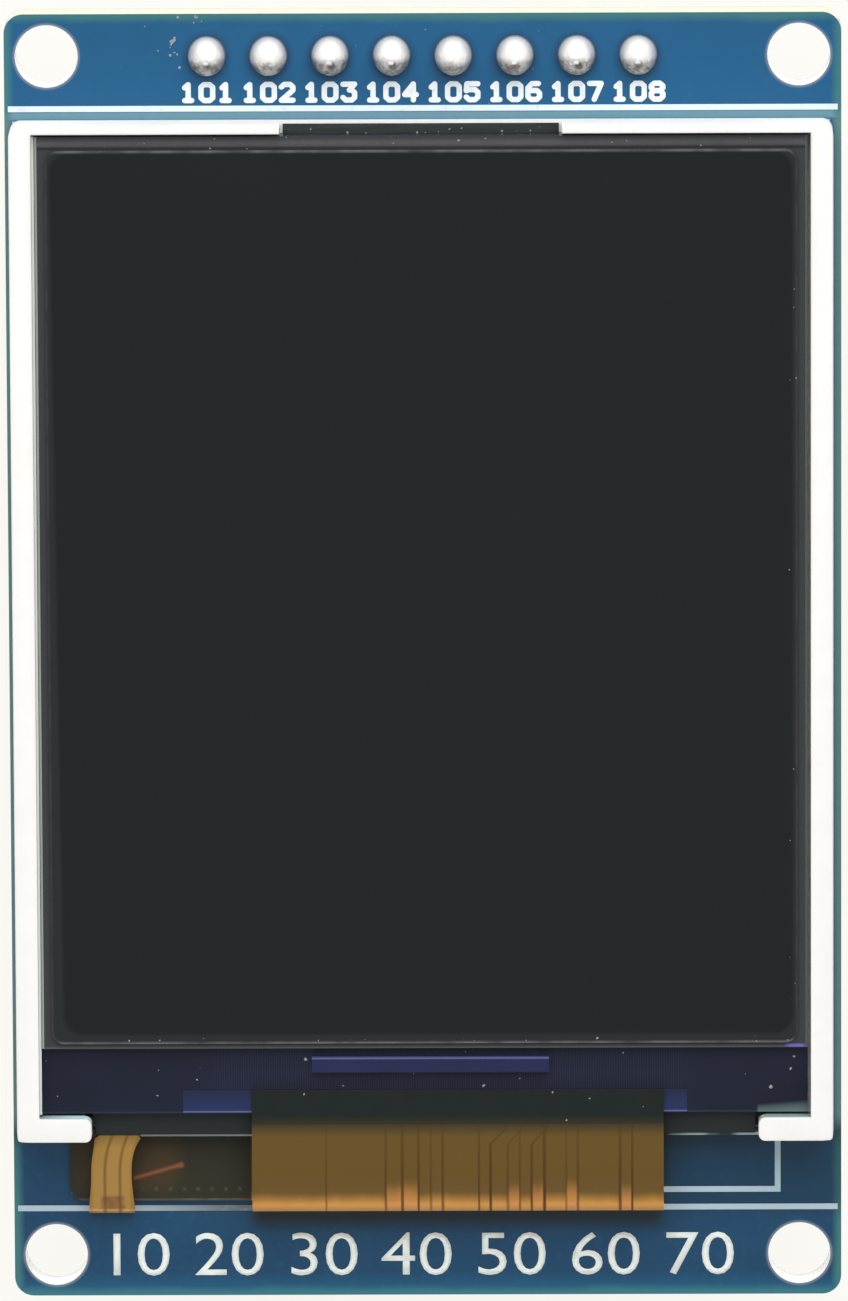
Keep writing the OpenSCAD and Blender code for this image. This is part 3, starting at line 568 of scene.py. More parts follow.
class MODULE_OT_numerals(bpy.types.Operator):
    """Prints a plain numeral beside each pin and a row of numerals along the lower edge"""
    bl_idname = "module.numerals"
    bl_label = "Numerals"

    # Strokes of the small numerals, on a grid 4 wide and 6 high
    STROKES = {
        "0": [[(1, 0), (0, 1), (0, 5), (1, 6), (3, 6), (4, 5), (4, 1), (3, 0), (1, 0)]],
        "1": [[(0.8, 4.8), (2, 6), (2, 0)], [(0.8, 0), (3.2, 0)]],
        "2": [[(0, 5), (1, 6), (3, 6), (4, 5), (4, 3.8), (0, 0), (4, 0)]],
        "3": [[(0, 6), (4, 6), (2.2, 3.8), (3, 3.8), (4, 2.8), (4, 1), (3, 0), (1, 0), (0, 1)]],
        "4": [[(3, 0), (3, 6), (0, 2), (4, 2)]],
        "5": [[(4, 6), (0.2, 6), (0, 3.4), (1, 3.8), (3, 3.8), (4, 2.8), (4, 1), (3, 0), (1, 0), (0, 1)]],
        "6": [[(3.6, 6), (1.4, 6), (0, 4.4), (0, 1), (1, 0), (3, 0), (4, 1), (4, 2.4), (3, 3.4),
               (0.2, 3.4)]],
        "7": [[(0, 6), (4, 6), (1.6, 0)]],
        "8": [[(1, 3.2), (0, 4.2), (0, 5), (1, 6), (3, 6), (4, 5), (4, 4.2), (3, 3.2), (1, 3.2), (0, 2.2),
               (0, 1), (1, 0), (3, 0), (4, 1), (4, 2.2), (3, 3.2)]],
    }

    def stroke_numeral(self, bm, digit, width, height, left, foot, z, pen):
        """Adds a numeral drawn with a round pen."""
        for line in self.STROKES[digit]:
            points = [(left + pen / 2 + across * (width - pen) / 4, foot + pen / 2 + up * (height - pen) / 6)
                      for across, up in line]
            stroke(bm, points, pen, z)

    def as_mesh(self, curve):
        """Turns a curve into a mesh and removes the curve."""
        source = bpy.data.objects.new("outline", curve)
        bpy.context.scene.collection.objects.link(source)
        bpy.context.view_layer.update()
        mesh = bpy.data.meshes.new_from_object(source)
        bpy.data.objects.remove(source)
        bpy.data.curves.remove(curve)
        return mesh

    def print_text(self, words, height, width, middle, bold):
        """Adds flat letters of a height, stretched to a width, round a middle point."""
        curve = bpy.data.curves.new("numerals", "FONT")
        curve.body = words
        curve.offset = bold
        curve.resolution_u = 4
        mesh = self.as_mesh(curve)
        bm = bmesh.new()
        bm.from_mesh(mesh)
        bpy.data.meshes.remove(mesh)
        low = Vector([min(v.co[i] for v in bm.verts) for i in range(3)])
        high = Vector([max(v.co[i] for v in bm.verts) for i in range(3)])
        size = high - low
        bmesh.ops.translate(bm, verts=bm.verts, vec=-(low + high) / 2)
        bmesh.ops.scale(bm, verts=bm.verts, vec=(width / size.x, height / size.y, 1))
        bmesh.ops.translate(bm, verts=bm.verts, vec=middle)
        return bm

    def execute(self, context):
        tint = context.scene.module_colours
        sizes = context.scene.module_sizes
        ink = Finish("numeral_ink")
        spot, x, y, z = ink.place()
        patch = ink.grain(spot, 3.5, 4, 0.6)
        # Painted shade: the ink is a little darker towards the lower edge
        shade = ink.blend(ink.rise(y, -19, 20), rgb(240, 246, 240), rgb(246, 253, 254))
        ink.cover(ink.blend(ink.rise(patch, 0.5, 0.7) * 0.25, shade, rgb(170, 200, 212)),
                  patch * 0.2 + 0.45, patch, 0.01)
        ink_low, ink_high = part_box("silkscreen_lines")
        ink_t = ink_high.z - ink_low.z
        height = sizes.pin_numeral
        wide = sizes.pin_numeral_width
        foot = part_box("solder_joints")[0].y - sizes.numeral_gap - height
        bm = bmesh.new()
        for i, pin_x in enumerate(pin_places(sizes.pins)):
            for side, digit in zip((-1, 0, 1), str(101 + i)):
                left = pin_x + side * (wide + sizes.numeral_space) - wide / 2
                self.stroke_numeral(bm, digit, wide, height, left, foot, ink_low.z, sizes.pen)
        thicken(bm, ink_t)
        new_piece("pin_numerals", bm, ink, "ink", smooth=False)

        middle = Vector((-sizes.row_shift, ink_low.y - sizes.row_drop, ink_low.z))
        bm = self.print_text("10 20 30 40 50 60 70", sizes.row_numeral, sizes.row_width, middle, -0.002)
        thicken(bm, ink_t)
        new_piece("row_numerals", bm, ink, "ink", smooth=False)
        return {"FINISHED"}


class MODULE_OT_header(bpy.types.Operator):
    """Finishes the header and makes the solder domes"""
    bl_idname = "module.header"
    bl_label = "Header and solder"

    def execute(self, context):
        tint = context.scene.module_colours
        sizes = context.scene.module_sizes
        wear("header_strip", grained("header_plastic", tint.black, rgb(40, 40, 43), 12, 3,
                                     rough=0.42, spread=0.15, depth_mm=0.012, share=0.5))

        pin = Finish("pin_metal", Metallic=1)
        spot, x, y, z = pin.place()
        smear = pin.grain(pin.stretched(spot, 1, 1, 0.2), 6, 3)
        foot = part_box("header_pins")[0].z / MM
        tip = 1 - pin.rise(z, foot + 0.24, foot + 0.54)
        gold = pin.blend(smear * 0.5, tint.pin, rgb(190, 150, 80))
        pin.cover(pin.blend(tip * 0.6, gold, rgb(176, 160, 130)), smear * 0.2 + 0.18, smear, 0.006)
        wear("header_pins", pin)

        low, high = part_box("solder_joints")
        row_y = (low.y + high.y) / 2
        board_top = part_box("circuit_board")[1].z
        tin = Finish("solder", Metallic=0.5)
        spot, x, y, z = tin.place()
        swirl = tin.grain(spot, 3, 4, 0.55, 1.2)
        cloud = tin.grain(spot, 1.7, 2)
        nearest, off_x, off_y = from_pins(tin, x, y, sizes.pins)
        own = tin.node("ShaderNodeTexWhiteNoise", {"noise_dimensions": "1D"}, {"W": nearest}, "Value")
        # The lower half of each dome is darker, partly as painted shade and partly as smears
        lower = 1 - tin.rise(off_y + (swirl - 0.5) * 0.7 - (own - 0.5) * 0.2, -0.24, 0)
        smear = tin.rise(swirl, 0.44, 0.6) * lower
        shade = tin.blend(cloud * 0.4, tint.solder, rgb(238, 230, 224))
        shade = tin.blend(lower * 0.4 + smear * 0.45, shade, rgb(96, 92, 88))
        # The end of each pin leaves a dull pit just below the top of its dome; on some domes a painted glint
        # sits there instead
        pit_x = off_x + 0.1 - own * 0.2
        pit_y = off_y + 0.3
        pit = 1 - tin.rise((pit_x * pit_x + pit_y * pit_y) ** 0.5 + (swirl - 0.5) * 0.3, 0.1, 0.22)
        shade = tin.blend(pit * (0.3 + own * 0.6), shade, rgb(70, 70, 60))
        painted_glint = tin.near(off_x + swirl * 0.1, 0.03, 0.1, 0.04) * tin.near(off_y, -0.16, 0.07, 0.04)
        shade = tin.blend(painted_glint * tin.rise(own, 0.3, 0.5), shade, rgb(250, 250, 250))
        # Painted shade darkens the foot of each dome
        foot_shade = 1 - tin.rise(z, board_top / MM + 0.08, board_top / MM + 0.3)
        tin.cover(tin.blend(foot_shade * 0.75, shade, rgb(74, 78, 88)),
                  0.44 - lower * 0.1, swirl * (lower * 0.7 + 0.3), 0.06)
        wear("flex_solder", tin)

        radius = sizes.dome_radius
        height = high.z - board_top
        ball = (radius * radius + height * height) / (2 * height)
        bm = bmesh.new()
        for i, pin_x in enumerate(pin_places(sizes.pins)):
            centre = Vector((pin_x, row_y, high.z - ball))
            verts = bmesh.ops.create_uvsphere(bm, u_segments=40, v_segments=28, radius=ball)["verts"]
            seed = Vector((3.1 * i, 1.7, 0.4 * i))
            for vert in verts:
                way = vert.co.normalized()
                lump = 0.5 + 0.5 * noise.noise(way * 1.6 + seed)
                from_pit = (way - Vector((0.1 * math.sin(i), -0.3, 0.92)).normalized()).length
                pit = max(0.0, 1 - from_pit / 0.28)
                vert.co -= way * ball * (0.03 * lump + 0.09 * pit * pit)
                # The solder is narrower across its pad, and runs out thin at its foot
                foot = min(1.0, max(0.0, 1 - (vert.co.z + centre.z - board_top) / sizes.dome_foot))
                vert.co.x *= sizes.dome_width * (1 + 0.14 * foot * foot)
                vert.co.y *= sizes.dome_depth * (1 + 0.1 * foot * foot)
            bmesh.ops.translate(bm, verts=verts, vec=centre)
            half = Vector((sizes.pin_tip, sizes.pin_tip, 0))
            slab(bm, centre - half, Vector((pin_x, row_y, high.z - sizes.pin_sunk)) + half)
        whole = list(bm.verts) + list(bm.edges) + list(bm.faces)
        bmesh.ops.bisect_plane(bm, geom=whole, plane_co=(0, 0, board_top), plane_no=(0, 0, -1),
                               clear_outer=True)
        rims = [e for e in bm.edges if e.is_boundary]
        bmesh.ops.holes_fill(bm, edges=rims)
        new_piece("solder_domes", bm, tin, "solder", "solder_joints")
        return {"FINISHED"}


class MODULE_OT_frame(bpy.types.Operator):
    """Softens and finishes the moulded backlight frame and its foam tape"""
    bl_idname = "module.frame"
    bl_label = "Backlight frame"

    def square_feet(self, bm, reach):
        """Draws the round outer corners of the feet out, so that they turn more sharply."""
        low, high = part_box("backlight_frame")
        for vert in bm.verts:
            off_x = abs(vert.co.x - (low.x + high.x) / 2) - (high.x - low.x) / 2 + reach
            off_y = low.y + reach - vert.co.y
            if off_x > 0 and off_y > 0:
                away = math.hypot(off_x, off_y)
                grow = away / (off_x ** 6 + off_y ** 6) ** (1 / 6) - 1
                vert.co.x += math.copysign(off_x * grow, vert.co.x)
                vert.co.y -= off_y * grow

    def execute(self, context):
        tint = context.scene.module_colours
        sizes = context.scene.module_sizes
        low, high = (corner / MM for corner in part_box("backlight_frame"))
        glass_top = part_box("array_glass")[1].z / MM
        finish = Finish("frame_plastic")
        spot, x, y, z = finish.place()
        mottle = finish.grain(spot, 0.8, 3)
        grit = finish.grain(spot, 14, 3)
        shade = finish.blend((mottle - 0.35) * 0.5, tint.plastic, rgb(236, 234, 226))
        # Painted shade and reflection: the inner walls are darker and tinted like the glass beside them
        wall = (finish.within(x, low.x + 0.5, high.x - 0.5, 0.05)
                * finish.within(y, low.y + 0.5, high.y - 0.1, 0.05)
                * (1 - finish.rise(z, high.z - 0.35, high.z - 0.1))
                * (1 - finish.rise(abs(finish.facing("Z")), 0.3, 0.6)))
        shade = finish.blend(wall * 0.85, shade, rgb(112, 138, 142))
        # Painted reflection: the glass makes the feet's inner walls pale cyan
        foot_wall = wall * (1 - finish.rise(y, low.y + 1.1, low.y + 1.2)) * finish.facing("Y").most(0)
        painted_glint = finish.blend(finish.rise(x, low.x + 1, low.x + 2.4), rgb(150, 170, 174), rgb(196, 236, 246))
        painted_glint = finish.blend(finish.rise(x, 0, 1), painted_glint, rgb(140, 168, 166))
        shade = finish.blend(foot_wall, shade, painted_glint)
        # The tape leaves a thin edge of the rail, grey with painted shade and smudged with its glue
        on_rail = 1 - finish.rise(y, low.y + 1, low.y + 1.1)
        rail = ((1 - finish.rise(z, glass_top - 0.5, glass_top - 0.4)) * on_rail
                * finish.rise(finish.facing("Z"), 0.5, 0.7)
                * finish.within(x, low.x + 5.05, high.x - 2.9))
        smudge = finish.grain(finish.stretched(spot, 1, 0.1, 0.1), 0.55, 2)
        glue = finish.rise(smudge, 0.42, 0.56) * finish.rise(x, 0, 8)
        glue = glue.most(finish.rise(y, low.y + 0.11, low.y + 0.13))
        line = finish.blend(finish.rise(x, -1, 1), rgb(138, 142, 146), rgb(152, 168, 166))
        shade = finish.blend(rail, shade, finish.blend(glue, line, rgb(34, 38, 38)))
        # Painted shade darkens the frame under the glass, between the feet
        under = ((1 - finish.rise(z, glass_top - 0.1, glass_top + 0.1))
                 * finish.within(x, low.x + 2.8, high.x - 2.8) * on_rail)
        shade = finish.blend(under * (1 - rail), shade, rgb(36, 40, 40))
        finish.cover(shade, mottle * 0.2 + 0.35, grit, 0.008)

        bm = bmesh.new()
        bm.from_mesh(NODES["backlight_frame"].data)
        bmesh.ops.remove_doubles(bm, verts=bm.verts, dist=1e-7)
        bmesh.ops.dissolve_limit(bm, angle_limit=math.radians(1), verts=bm.verts, edges=bm.edges)
        self.square_feet(bm, sizes.foot_round)
        sharp = [e for e in bm.edges
                 if len(e.link_faces) == 2 and e.calc_face_angle(0) > math.radians(50)
                 and min(v.co.z for v in e.verts) / MM > glass_top - 0.3]
        bmesh.ops.bevel(bm, geom=sharp, offset=sizes.edge_round, segments=3, profile=0.5,
                        affect="EDGES", material=-1, clamp_overlap=True)
        # A low rib on the left wall keeps the glass off it
        glass_low, glass_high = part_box("array_glass")
        slab(bm, (low.x * MM + sizes.rib_wall, glass_low.y, glass_low.z),
             (glass_low.x - sizes.rib_gap, glass_high.y, glass_high.z + sizes.rib_rise))
        new_piece("moulded_frame", bm, finish, "frame_plastic", "backlight_frame")

        wear("foam_tape", grained("foam", rgb(216, 214, 206), rgb(150, 148, 142), 9, 2,
                                  rough=0.85, spread=0.1, depth_mm=0.04))
        return {"FINISHED"}


class MODULE_OT_backlight(bpy.types.Operator):
    """Finishes the films, the light guide, the rim tape and the lamps"""
    bl_idname = "module.backlight"
    bl_label = "Backlight"

    def execute(self, context):
        tint = context.scene.module_colours
        tape = Finish("black_tape")
        spot, x, y, z = tape.place()
        wrinkle = tape.grain(tape.stretched(spot, 0.4, 3, 1), 2, 4, 0.6)
        upper = tape.rise(y, 0, 1)
        shade = tape.blend(upper, tint.tape, rgb(56, 62, 60))
        shade = tape.blend(wrinkle * 0.5, shade, rgb(20, 25, 24))
        # Painted reflection: a foot of the frame mirrors in the gap beside it
        glass_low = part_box("array_glass")[0].y / MM
        gap = tape.rise(x, 13.7, 13.8) * (1 - tape.rise(y, glass_low + 0.04, glass_low + 0.08))
        tape.cover(tape.blend(gap * 0.8, shade, rgb(104, 124, 124)),
                   wrinkle * 0.25 + 0.38, wrinkle, 0.02)
        wear("rim_tape", tape)

        for node, slot, shade, rough in (("reflector_film", "reflector", (206, 210, 212), 0.12),
                                         ("diffuser_film", "film", (232, 234, 234), 0.6),
                                         ("prism_film_lower", "film", (222, 226, 228), 0.3),
                                         ("prism_film_upper", "film", (218, 222, 226), 0.3)):
            film = Finish(slot + "_" + node)
            spot, x, y, z = film.place()
            ridge = film.node("ShaderNodeTexWave", {"bands_direction": "Y"},
                              {"Vector": spot, "Scale": 2, "Distortion": 0.4}, "Fac")
            film.cover(film.blend(ridge * 0.25, rgb(*shade), rgb(180, 186, 190)),
                       ridge * 0.1 + rough, ridge, 0.01)
            wear(node, film)

        acrylic = Finish("acrylic")
        spot, x, y, z = acrylic.place()
        dots = acrylic.node("ShaderNodeTexVoronoi", None, {"Vector": spot, "Scale": 1.4}, "Distance")
        acrylic.cover(acrylic.blend(acrylic.rise(dots, 0.2, 0.5), rgb(238, 243, 242), rgb(206, 216, 216)),
                      dots * 0.2 + 0.08, dots, 0.01)
        wear("light_guide", acrylic)

        wear("backlight_leds", grained("lamp_case", rgb(246, 242, 226), rgb(232, 214, 130), 2, 2,
                                       rough=0.3, spread=0.2, depth_mm=0.01))
        wear("rear_polarizer", grained("polarizer", rgb(40, 44, 46), rgb(52, 56, 58), 0.5, 2,
                                       rough=0.25, spread=0.1, depth_mm=0.004))
        return {"FINISHED"}


class MODULE_OT_screen(bpy.types.Operator):
    """Finishes the polarizer and both sheets of glass, the chip and its bonding film"""
    bl_idname = "module.screen"
    bl_label = "Screen"

    def execute(self, context):
        tint = context.scene.module_colours
        low, high = (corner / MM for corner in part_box("front_polarizer"))
        screen = Finish("screen", Specular_IOR_Level=0.1)
        spot, x, y, z = screen.place()
        haze = screen.grain(spot, 0.12, 2)
        pores = screen.grain(spot, 20, 2)
        # The picture area sits a little askew under the polarizer
        skew = screen.rise(y, high.y, low.y) * 0.36
        inner = 1 - screen.rise(
            screen.field(x - skew * screen.rise(x, 0, low.x), y, (low.x + 0.2, low.y + 0.42),
                         (high.x - 0.22, high.y - 0.1), 0.8), -0.06, 0.1)
        shade = screen.blend(inner, tint.screen_rim, tint.screen)
        shade = screen.blend(screen.rise(y, 12, -16) * 0.35 * inner, shade, rgb(27, 32, 33))
        shade = screen.blend(haze * 0.25, shade, rgb(36, 42, 43))
        lip = screen.rise(screen.field(x, y, low, high, 0.5), -0.12, -0.04)
        lip = lip * (1 - screen.rise(abs(x), high.x - 0.3, high.x - 0.1) * 0.8)
        broken = screen.rise(screen.grain(spot, 1.1, 3), 0.35, 0.6)
        shade = screen.blend(lip * (broken * 0.6 + 0.3), shade, rgb(104, 105, 106))
        screen.cover(shade, haze * 0.06 + 0.2 + lip * 0.2, pores, 0.002)
        wear("front_polarizer", screen)

        low, high = (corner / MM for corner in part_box("colour_filter_glass"))
        border = Finish("border_glass", Specular_IOR_Level=0.15)
        spot, x, y, z = border.place()
        dirt = border.grain(spot, 2.5, 4, 0.7)
        shade = border.blend(dirt * 0.5, tint.border, rgb(52, 53, 54))
        screen_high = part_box("front_polarizer")[1] / MM
        # Painted sheen: a lighter band on the glass above the polarizer
        sheen = 1 - border.rise(abs(y - screen_high.y - 0.28), 0.04, 0.22)
        shade = border.blend(sheen * (0.3 + dirt * 0.5), shade, rgb(100, 103, 106))
        shade = border.blend(border.near(y, screen_high.y + 0.08, 0.06, 0.04) * 0.7, shade, rgb(28, 29, 30))
        near_low = 1 - border.rise(y, low.y + 0.02, low.y + 0.12)
        shade = border.blend(near_low * 0.7, shade, rgb(92, 96, 100))
        # Painted reflection: the glass's sides are pale where they mirror the white wall, the left one most
        side = border.rise(abs(border.facing("X")), 0.3, 0.5)
        left = 1 - border.rise(x, -1, 1)
        shade = border.blend(side * left, shade, rgb(186, 192, 178))
        shade = border.blend(side * (1 - left) * 0.8, shade, rgb(118, 122, 120))
        # A painted purple highlight at the lower right corner of the glass
        corner = (border.within(x, high.x - 0.9, high.x - 0.15, 0.1)
                  * border.within(y, low.y + 0.02, low.y + 0.14, 0.03))
        shade = border.blend(corner * 0.8, shade, rgb(116, 112, 206))
        border.cover(shade, dirt * 0.2 + 0.12, dirt, 0.006)
        wear("colour_filter_glass", border)

        ledge = Finish("ledge_glass", Specular_IOR_Level=0.12)
        spot, x, y, z = ledge.place()
        bond_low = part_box("bonding_film")[0] / MM
        haze = ledge.grain(spot, 0.4, 3)
        shade = ledge.blend(haze * 0.6, tint.ledge, rgb(38, 40, 62))
        # Fine conductors fan out between the flex and the picture area
        fan = ledge.node("ShaderNodeTexWave", {"bands_direction": "X"},
                         {"Vector": spot, "Scale": 3.2, "Distortion": 0.6, "Detail": 1}, "Fac")
        lines = ledge.rise(fan, 0.7, 0.9) * ledge.within(x, -9, 11, 0.6) * 0.18
        shade = ledge.blend(lines, shade, rgb(70, 78, 110))
        edge = 1 - ledge.rise(y, bond_low.y + 0.02, bond_low.y + 0.1)
        shade = ledge.blend(edge * 0.3, shade, rgb(70, 84, 92))
        # Painted reflection: a foot of the frame mirrors in the corner of the glass
        up = y - bond_low.y - (x - 13.7) * 0.08
        mirrored = ledge.rise(x, 13.7, 13.8) * (1 - ledge.rise(up, 0.18, 0.34))
        image = ledge.blend(ledge.rise(up, -0.1, 0.2), rgb(112, 134, 134), rgb(76, 94, 98))
        shade = ledge.blend(mirrored * 0.85, shade, image)
        ledge.cover(shade, haze * 0.1 + 0.1, fan, 0.002)
        wear("array_glass", ledge)

        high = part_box("driver_chip")[1] / MM
        chip = Finish("silicon", Specular_IOR_Level=0.15)
        spot, x, y, z = chip.place()
        sheen = chip.grain(spot, 0.6, 2)
        shade = chip.blend(sheen * 0.5, tint.silicon, rgb(56, 52, 112))
        # A painted highlight along the chip's edge
        line = chip.rise(y, high.y - 0.08, high.y - 0.05)
        shade = chip.blend(line * 0.7, shade, rgb(112, 114, 164))
        shade = chip.blend(chip.rise(y, high.y - 0.1, high.y - 0.3) * 0.35, shade, rgb(40, 44, 66))
        chip.cover(shade, sheen * 0.1 + 0.1, sheen, 0.004)
        wear("driver_chip", chip)

        bond = Finish("bond")
        spot, x, y, z = bond.place()
        cloud = bond.grain(spot, 1.2, 3)
        shade = bond.blend(cloud * 0.6, tint.bond, rgb(38, 46, 84))
        shade = bond.blend(bond.rise(y, bond_low.y + 0.2, bond_low.y + 1) * 0.7, shade, tint.ledge)
        line = bond.near(y, bond_low.y + 0.06, 0.025, 0.02)
        shade = bond.blend(line * 0.7, shade, rgb(116, 124, 164))
        bond.cover(shade, cloud * 0.2 + 0.2, cloud, 0.006)
        wear("bonding_film", bond)
        return {"FINISHED"}


class MODULE_OT_flex(bpy.types.Operator):
    """Makes the folded main flex with its wide panel, and finishes its dark coat"""
    bl_idname = "module.flex"
    bl_label = "Main flex"

    # Middles of the gaps between the copper areas, from the flex's own middle
    GAPS = (-5.48, -3, -2.31, -1.64, -1.12, -0.63, 0.88, 1.36, 2.08, 2.58, 3.07, 3.6, 4.51, 4.99,
            6.75, 7.25)
    # The gaps that bend aside before they reach the glass
    BENT = (7, 8, 10)
    # The gaps with a narrow copper area to their right, where the painted highlight starts higher up
    NARROW = (1, 2, 8, 10, 12, 14)

    def execute(self, context):
        tint = context.scene.module_colours
        sizes = context.scene.module_sizes
        low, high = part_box("main_flex")
        coat_low, coat_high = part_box("mask_coat")
        middle = (coat_low.x + coat_high.x) / 2 / MM
        film = Finish("flex_film", Specular_IOR_Level=0.15)
        spot, x, y, z = film.place()
        cloud = film.grain(spot, 0.5, 3)
        streak = film.grain(film.stretched(spot, 6, 0.5, 1), 1, 4, 0.6)
        amber = film.blend(streak * 0.5 + cloud * 0.2, tint.amber, rgb(104, 72, 34))
        # Painted highlight: the film is brighter where it turns down, higher up in some places, and paler
        # along its outermost line
        patch = film.grain(film.stretched(spot, 1, 0.2, 0.2), 0.9, 3)
        sooner = None
        for i in self.NARROW:
            area = film.within(x, middle + self.GAPS[i], middle + self.GAPS[i + 1], 0.02)
            sooner = area if sooner is None else sooner.most(area)
        edge = (low.y - sizes.flex_bulge) / MM
        away = y - edge - film.rise(patch, 0.4, 0.7) * 0.14
        turned = 1 - film.rise(away, 0.26, 0.98 + sooner * (0.3 + patch * 0.6))
        bright = film.blend(sooner * 0.4, tint.amber_bright, rgb(200, 130, 78))
        amber = film.blend(turned * turned * (3 - 2 * turned), amber, bright)
        amber = film.blend((1 - film.rise(away, 0.08, 0.26)) * 0.5, amber, rgb(190, 142, 100))
        hidden = film.rise(y, coat_low.y / MM - 0.56, coat_low.y / MM - 0.08)
        amber = film.blend(hidden * 0.8, amber, rgb(46, 48, 37))
        bend = (y - coat_low.y / MM + 0.9).most(0) * 0.95
        gaps = None
        for i, gap in enumerate(self.GAPS):
            across = x - bend if i in self.BENT else x
            shape = film.near(across, middle + gap, 0.035 + 0.01 * (i % 3), 0.025) * (0.55 + 0.15 * (i % 4))
            gaps = shape if gaps is None else gaps.most(shape)
        gaps = gaps * (0.45 + 0.55 * (1 - film.rise(y, low.y / MM + 1, coat_low.y / MM)))
        amber = film.blend(gaps, amber, tint.amber_gap)
        olive = film.blend(cloud * 0.5, tint.olive, rgb(40, 42, 34))
        olive = self.traces(film, olive, x, y, tint)
        on_loop = film.rise(x, coat_low.x / MM - 0.1, coat_low.x / MM - 0.02)
        film.put("Base Color", film.blend(on_loop, olive, amber))
        film.put("Roughness", streak * 0.12 + 0.4)
        film.put("Metallic", on_loop * (1 - gaps) * 0.12)
        film.bump(gaps * -1 + streak * 0.15, 0.03)

        bm = bmesh.new()
        outermost = low.y - sizes.flex_bulge
        folded(bm, coat_low.x, coat_high.x, coat_high.y, high.z, low.z, outermost, sizes.flex_thickness,
               sizes.flex_droop, sizes.flex_droop_radius, sizes.flex_slope, sizes.flex_under)
        self.add_panel(bm, low, high, coat_low, coat_high, sizes)
        new_piece("folded_flex", bm, film, "flex_film", "main_flex")

        coat = Finish("dark_coat", Specular_IOR_Level=0.15)
        spot, x, y, z = coat.place()
        cloud = coat.grain(spot, 1.1, 4, 0.6)
        fade = 1 - coat.rise(y, coat_low.y / MM, coat_low.y / MM + 0.35)
        shade = coat.blend(cloud * 0.5, tint.coat, rgb(28, 36, 30))
        coat.cover(coat.blend(fade * 0.35, shade, rgb(70, 62, 40)), cloud * 0.15 + 0.32, cloud, 0.01)
        wear("mask_coat", coat)
        return {"FINISHED"}

    def traces(self, film, shade, x, y, tint):
        """Draws the panel's slanting trace, its row of small vias and its hem."""
        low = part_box("main_flex")[0] / MM
        glow = film.field(x, y, (low.x + 0.3, low.y + 0.6), (low.x + 4.6, low.y + 2.9), 0.8)
        shade = film.blend((1 - film.rise(glow, -0.5, 0.3)) * 0.45, shade, rgb(84, 62, 40))
        foot = (low.x + 2.65, low.y + 1.2)
        run_x, run_y = 1.9, 0.55
        along = film.rise(x, foot[0], foot[0] + run_x)
        past_x = x - foot[0] - along * run_x
        past_y = y - foot[1] - along * run_y
        away = (past_x * past_x + past_y * past_y) ** 0.5 - along ** 12 * 0.05
        shade = film.blend((1 - film.rise(away, 0.07, 0.15)) * 0.85, shade, tint.copper)
        # A painted highlight along the middle of the trace
        shade = film.blend((1 - film.rise(away, 0.02, 0.08)) * 0.5, shade, rgb(150, 106, 80))
        vias = (film.near((x / 0.58).fraction(), 0.5, 0.12, 0.06)
                * film.near(y, low.y + 0.72, 0.07, 0.03)
                * film.within(x, low.x + 3, low.x + 7.2, 0.1))
        faint = film.grain(film.node("ShaderNodeCombineXYZ", None, {"X": x, "Y": y}), 1.6, 2)
        shade = film.blend(vias * faint * 0.8, shade, rgb(100, 98, 80))
        hem = film.within(y, low.y + 0.2, low.y + 0.32, 0.03)
        return film.blend(hem * faint * 0.8, shade, rgb(112, 110, 92))

    def add_panel(self, bm, low, high, coat_low, coat_high, sizes):
        """Adds the flat panel beside and behind the loop, with one round corner."""
        slit = sizes.flex_slit
        front = low.y + sizes.panel_setback
        bend = turn_radius(high.z - low.z - sizes.flex_thickness, sizes.flex_droop,
                           sizes.flex_droop_radius, sizes.flex_slope)
        slit_end = low.y + sizes.flex_thickness / 2 + bend + slit
        left = low.x - sizes.panel_spread
        corners = ((left, front), (coat_low.x - slit, front), (coat_low.x - slit, slit_end),
                   (coat_high.x, slit_end), (coat_high.x, high.y), (left, high.y))
        verts = [bm.verts.new((x, y, low.z)) for x, y in corners]
        face = bm.faces.new(verts)
        grown = bmesh.ops.extrude_face_region(bm, geom=[face])["geom"]
        top = [g for g in grown if isinstance(g, bmesh.types.BMVert)]
        bmesh.ops.translate(bm, verts=top, vec=(0, 0, sizes.flex_thickness))
        upright = [e for e in verts[0].link_edges
                   if abs(e.verts[0].co.z - e.verts[1].co.z) > sizes.flex_thickness / 2]
        bmesh.ops.bevel(bm, geom=upright, offset=sizes.panel_corner, segments=10, profile=0.5,
                        affect="EDGES", material=-1)


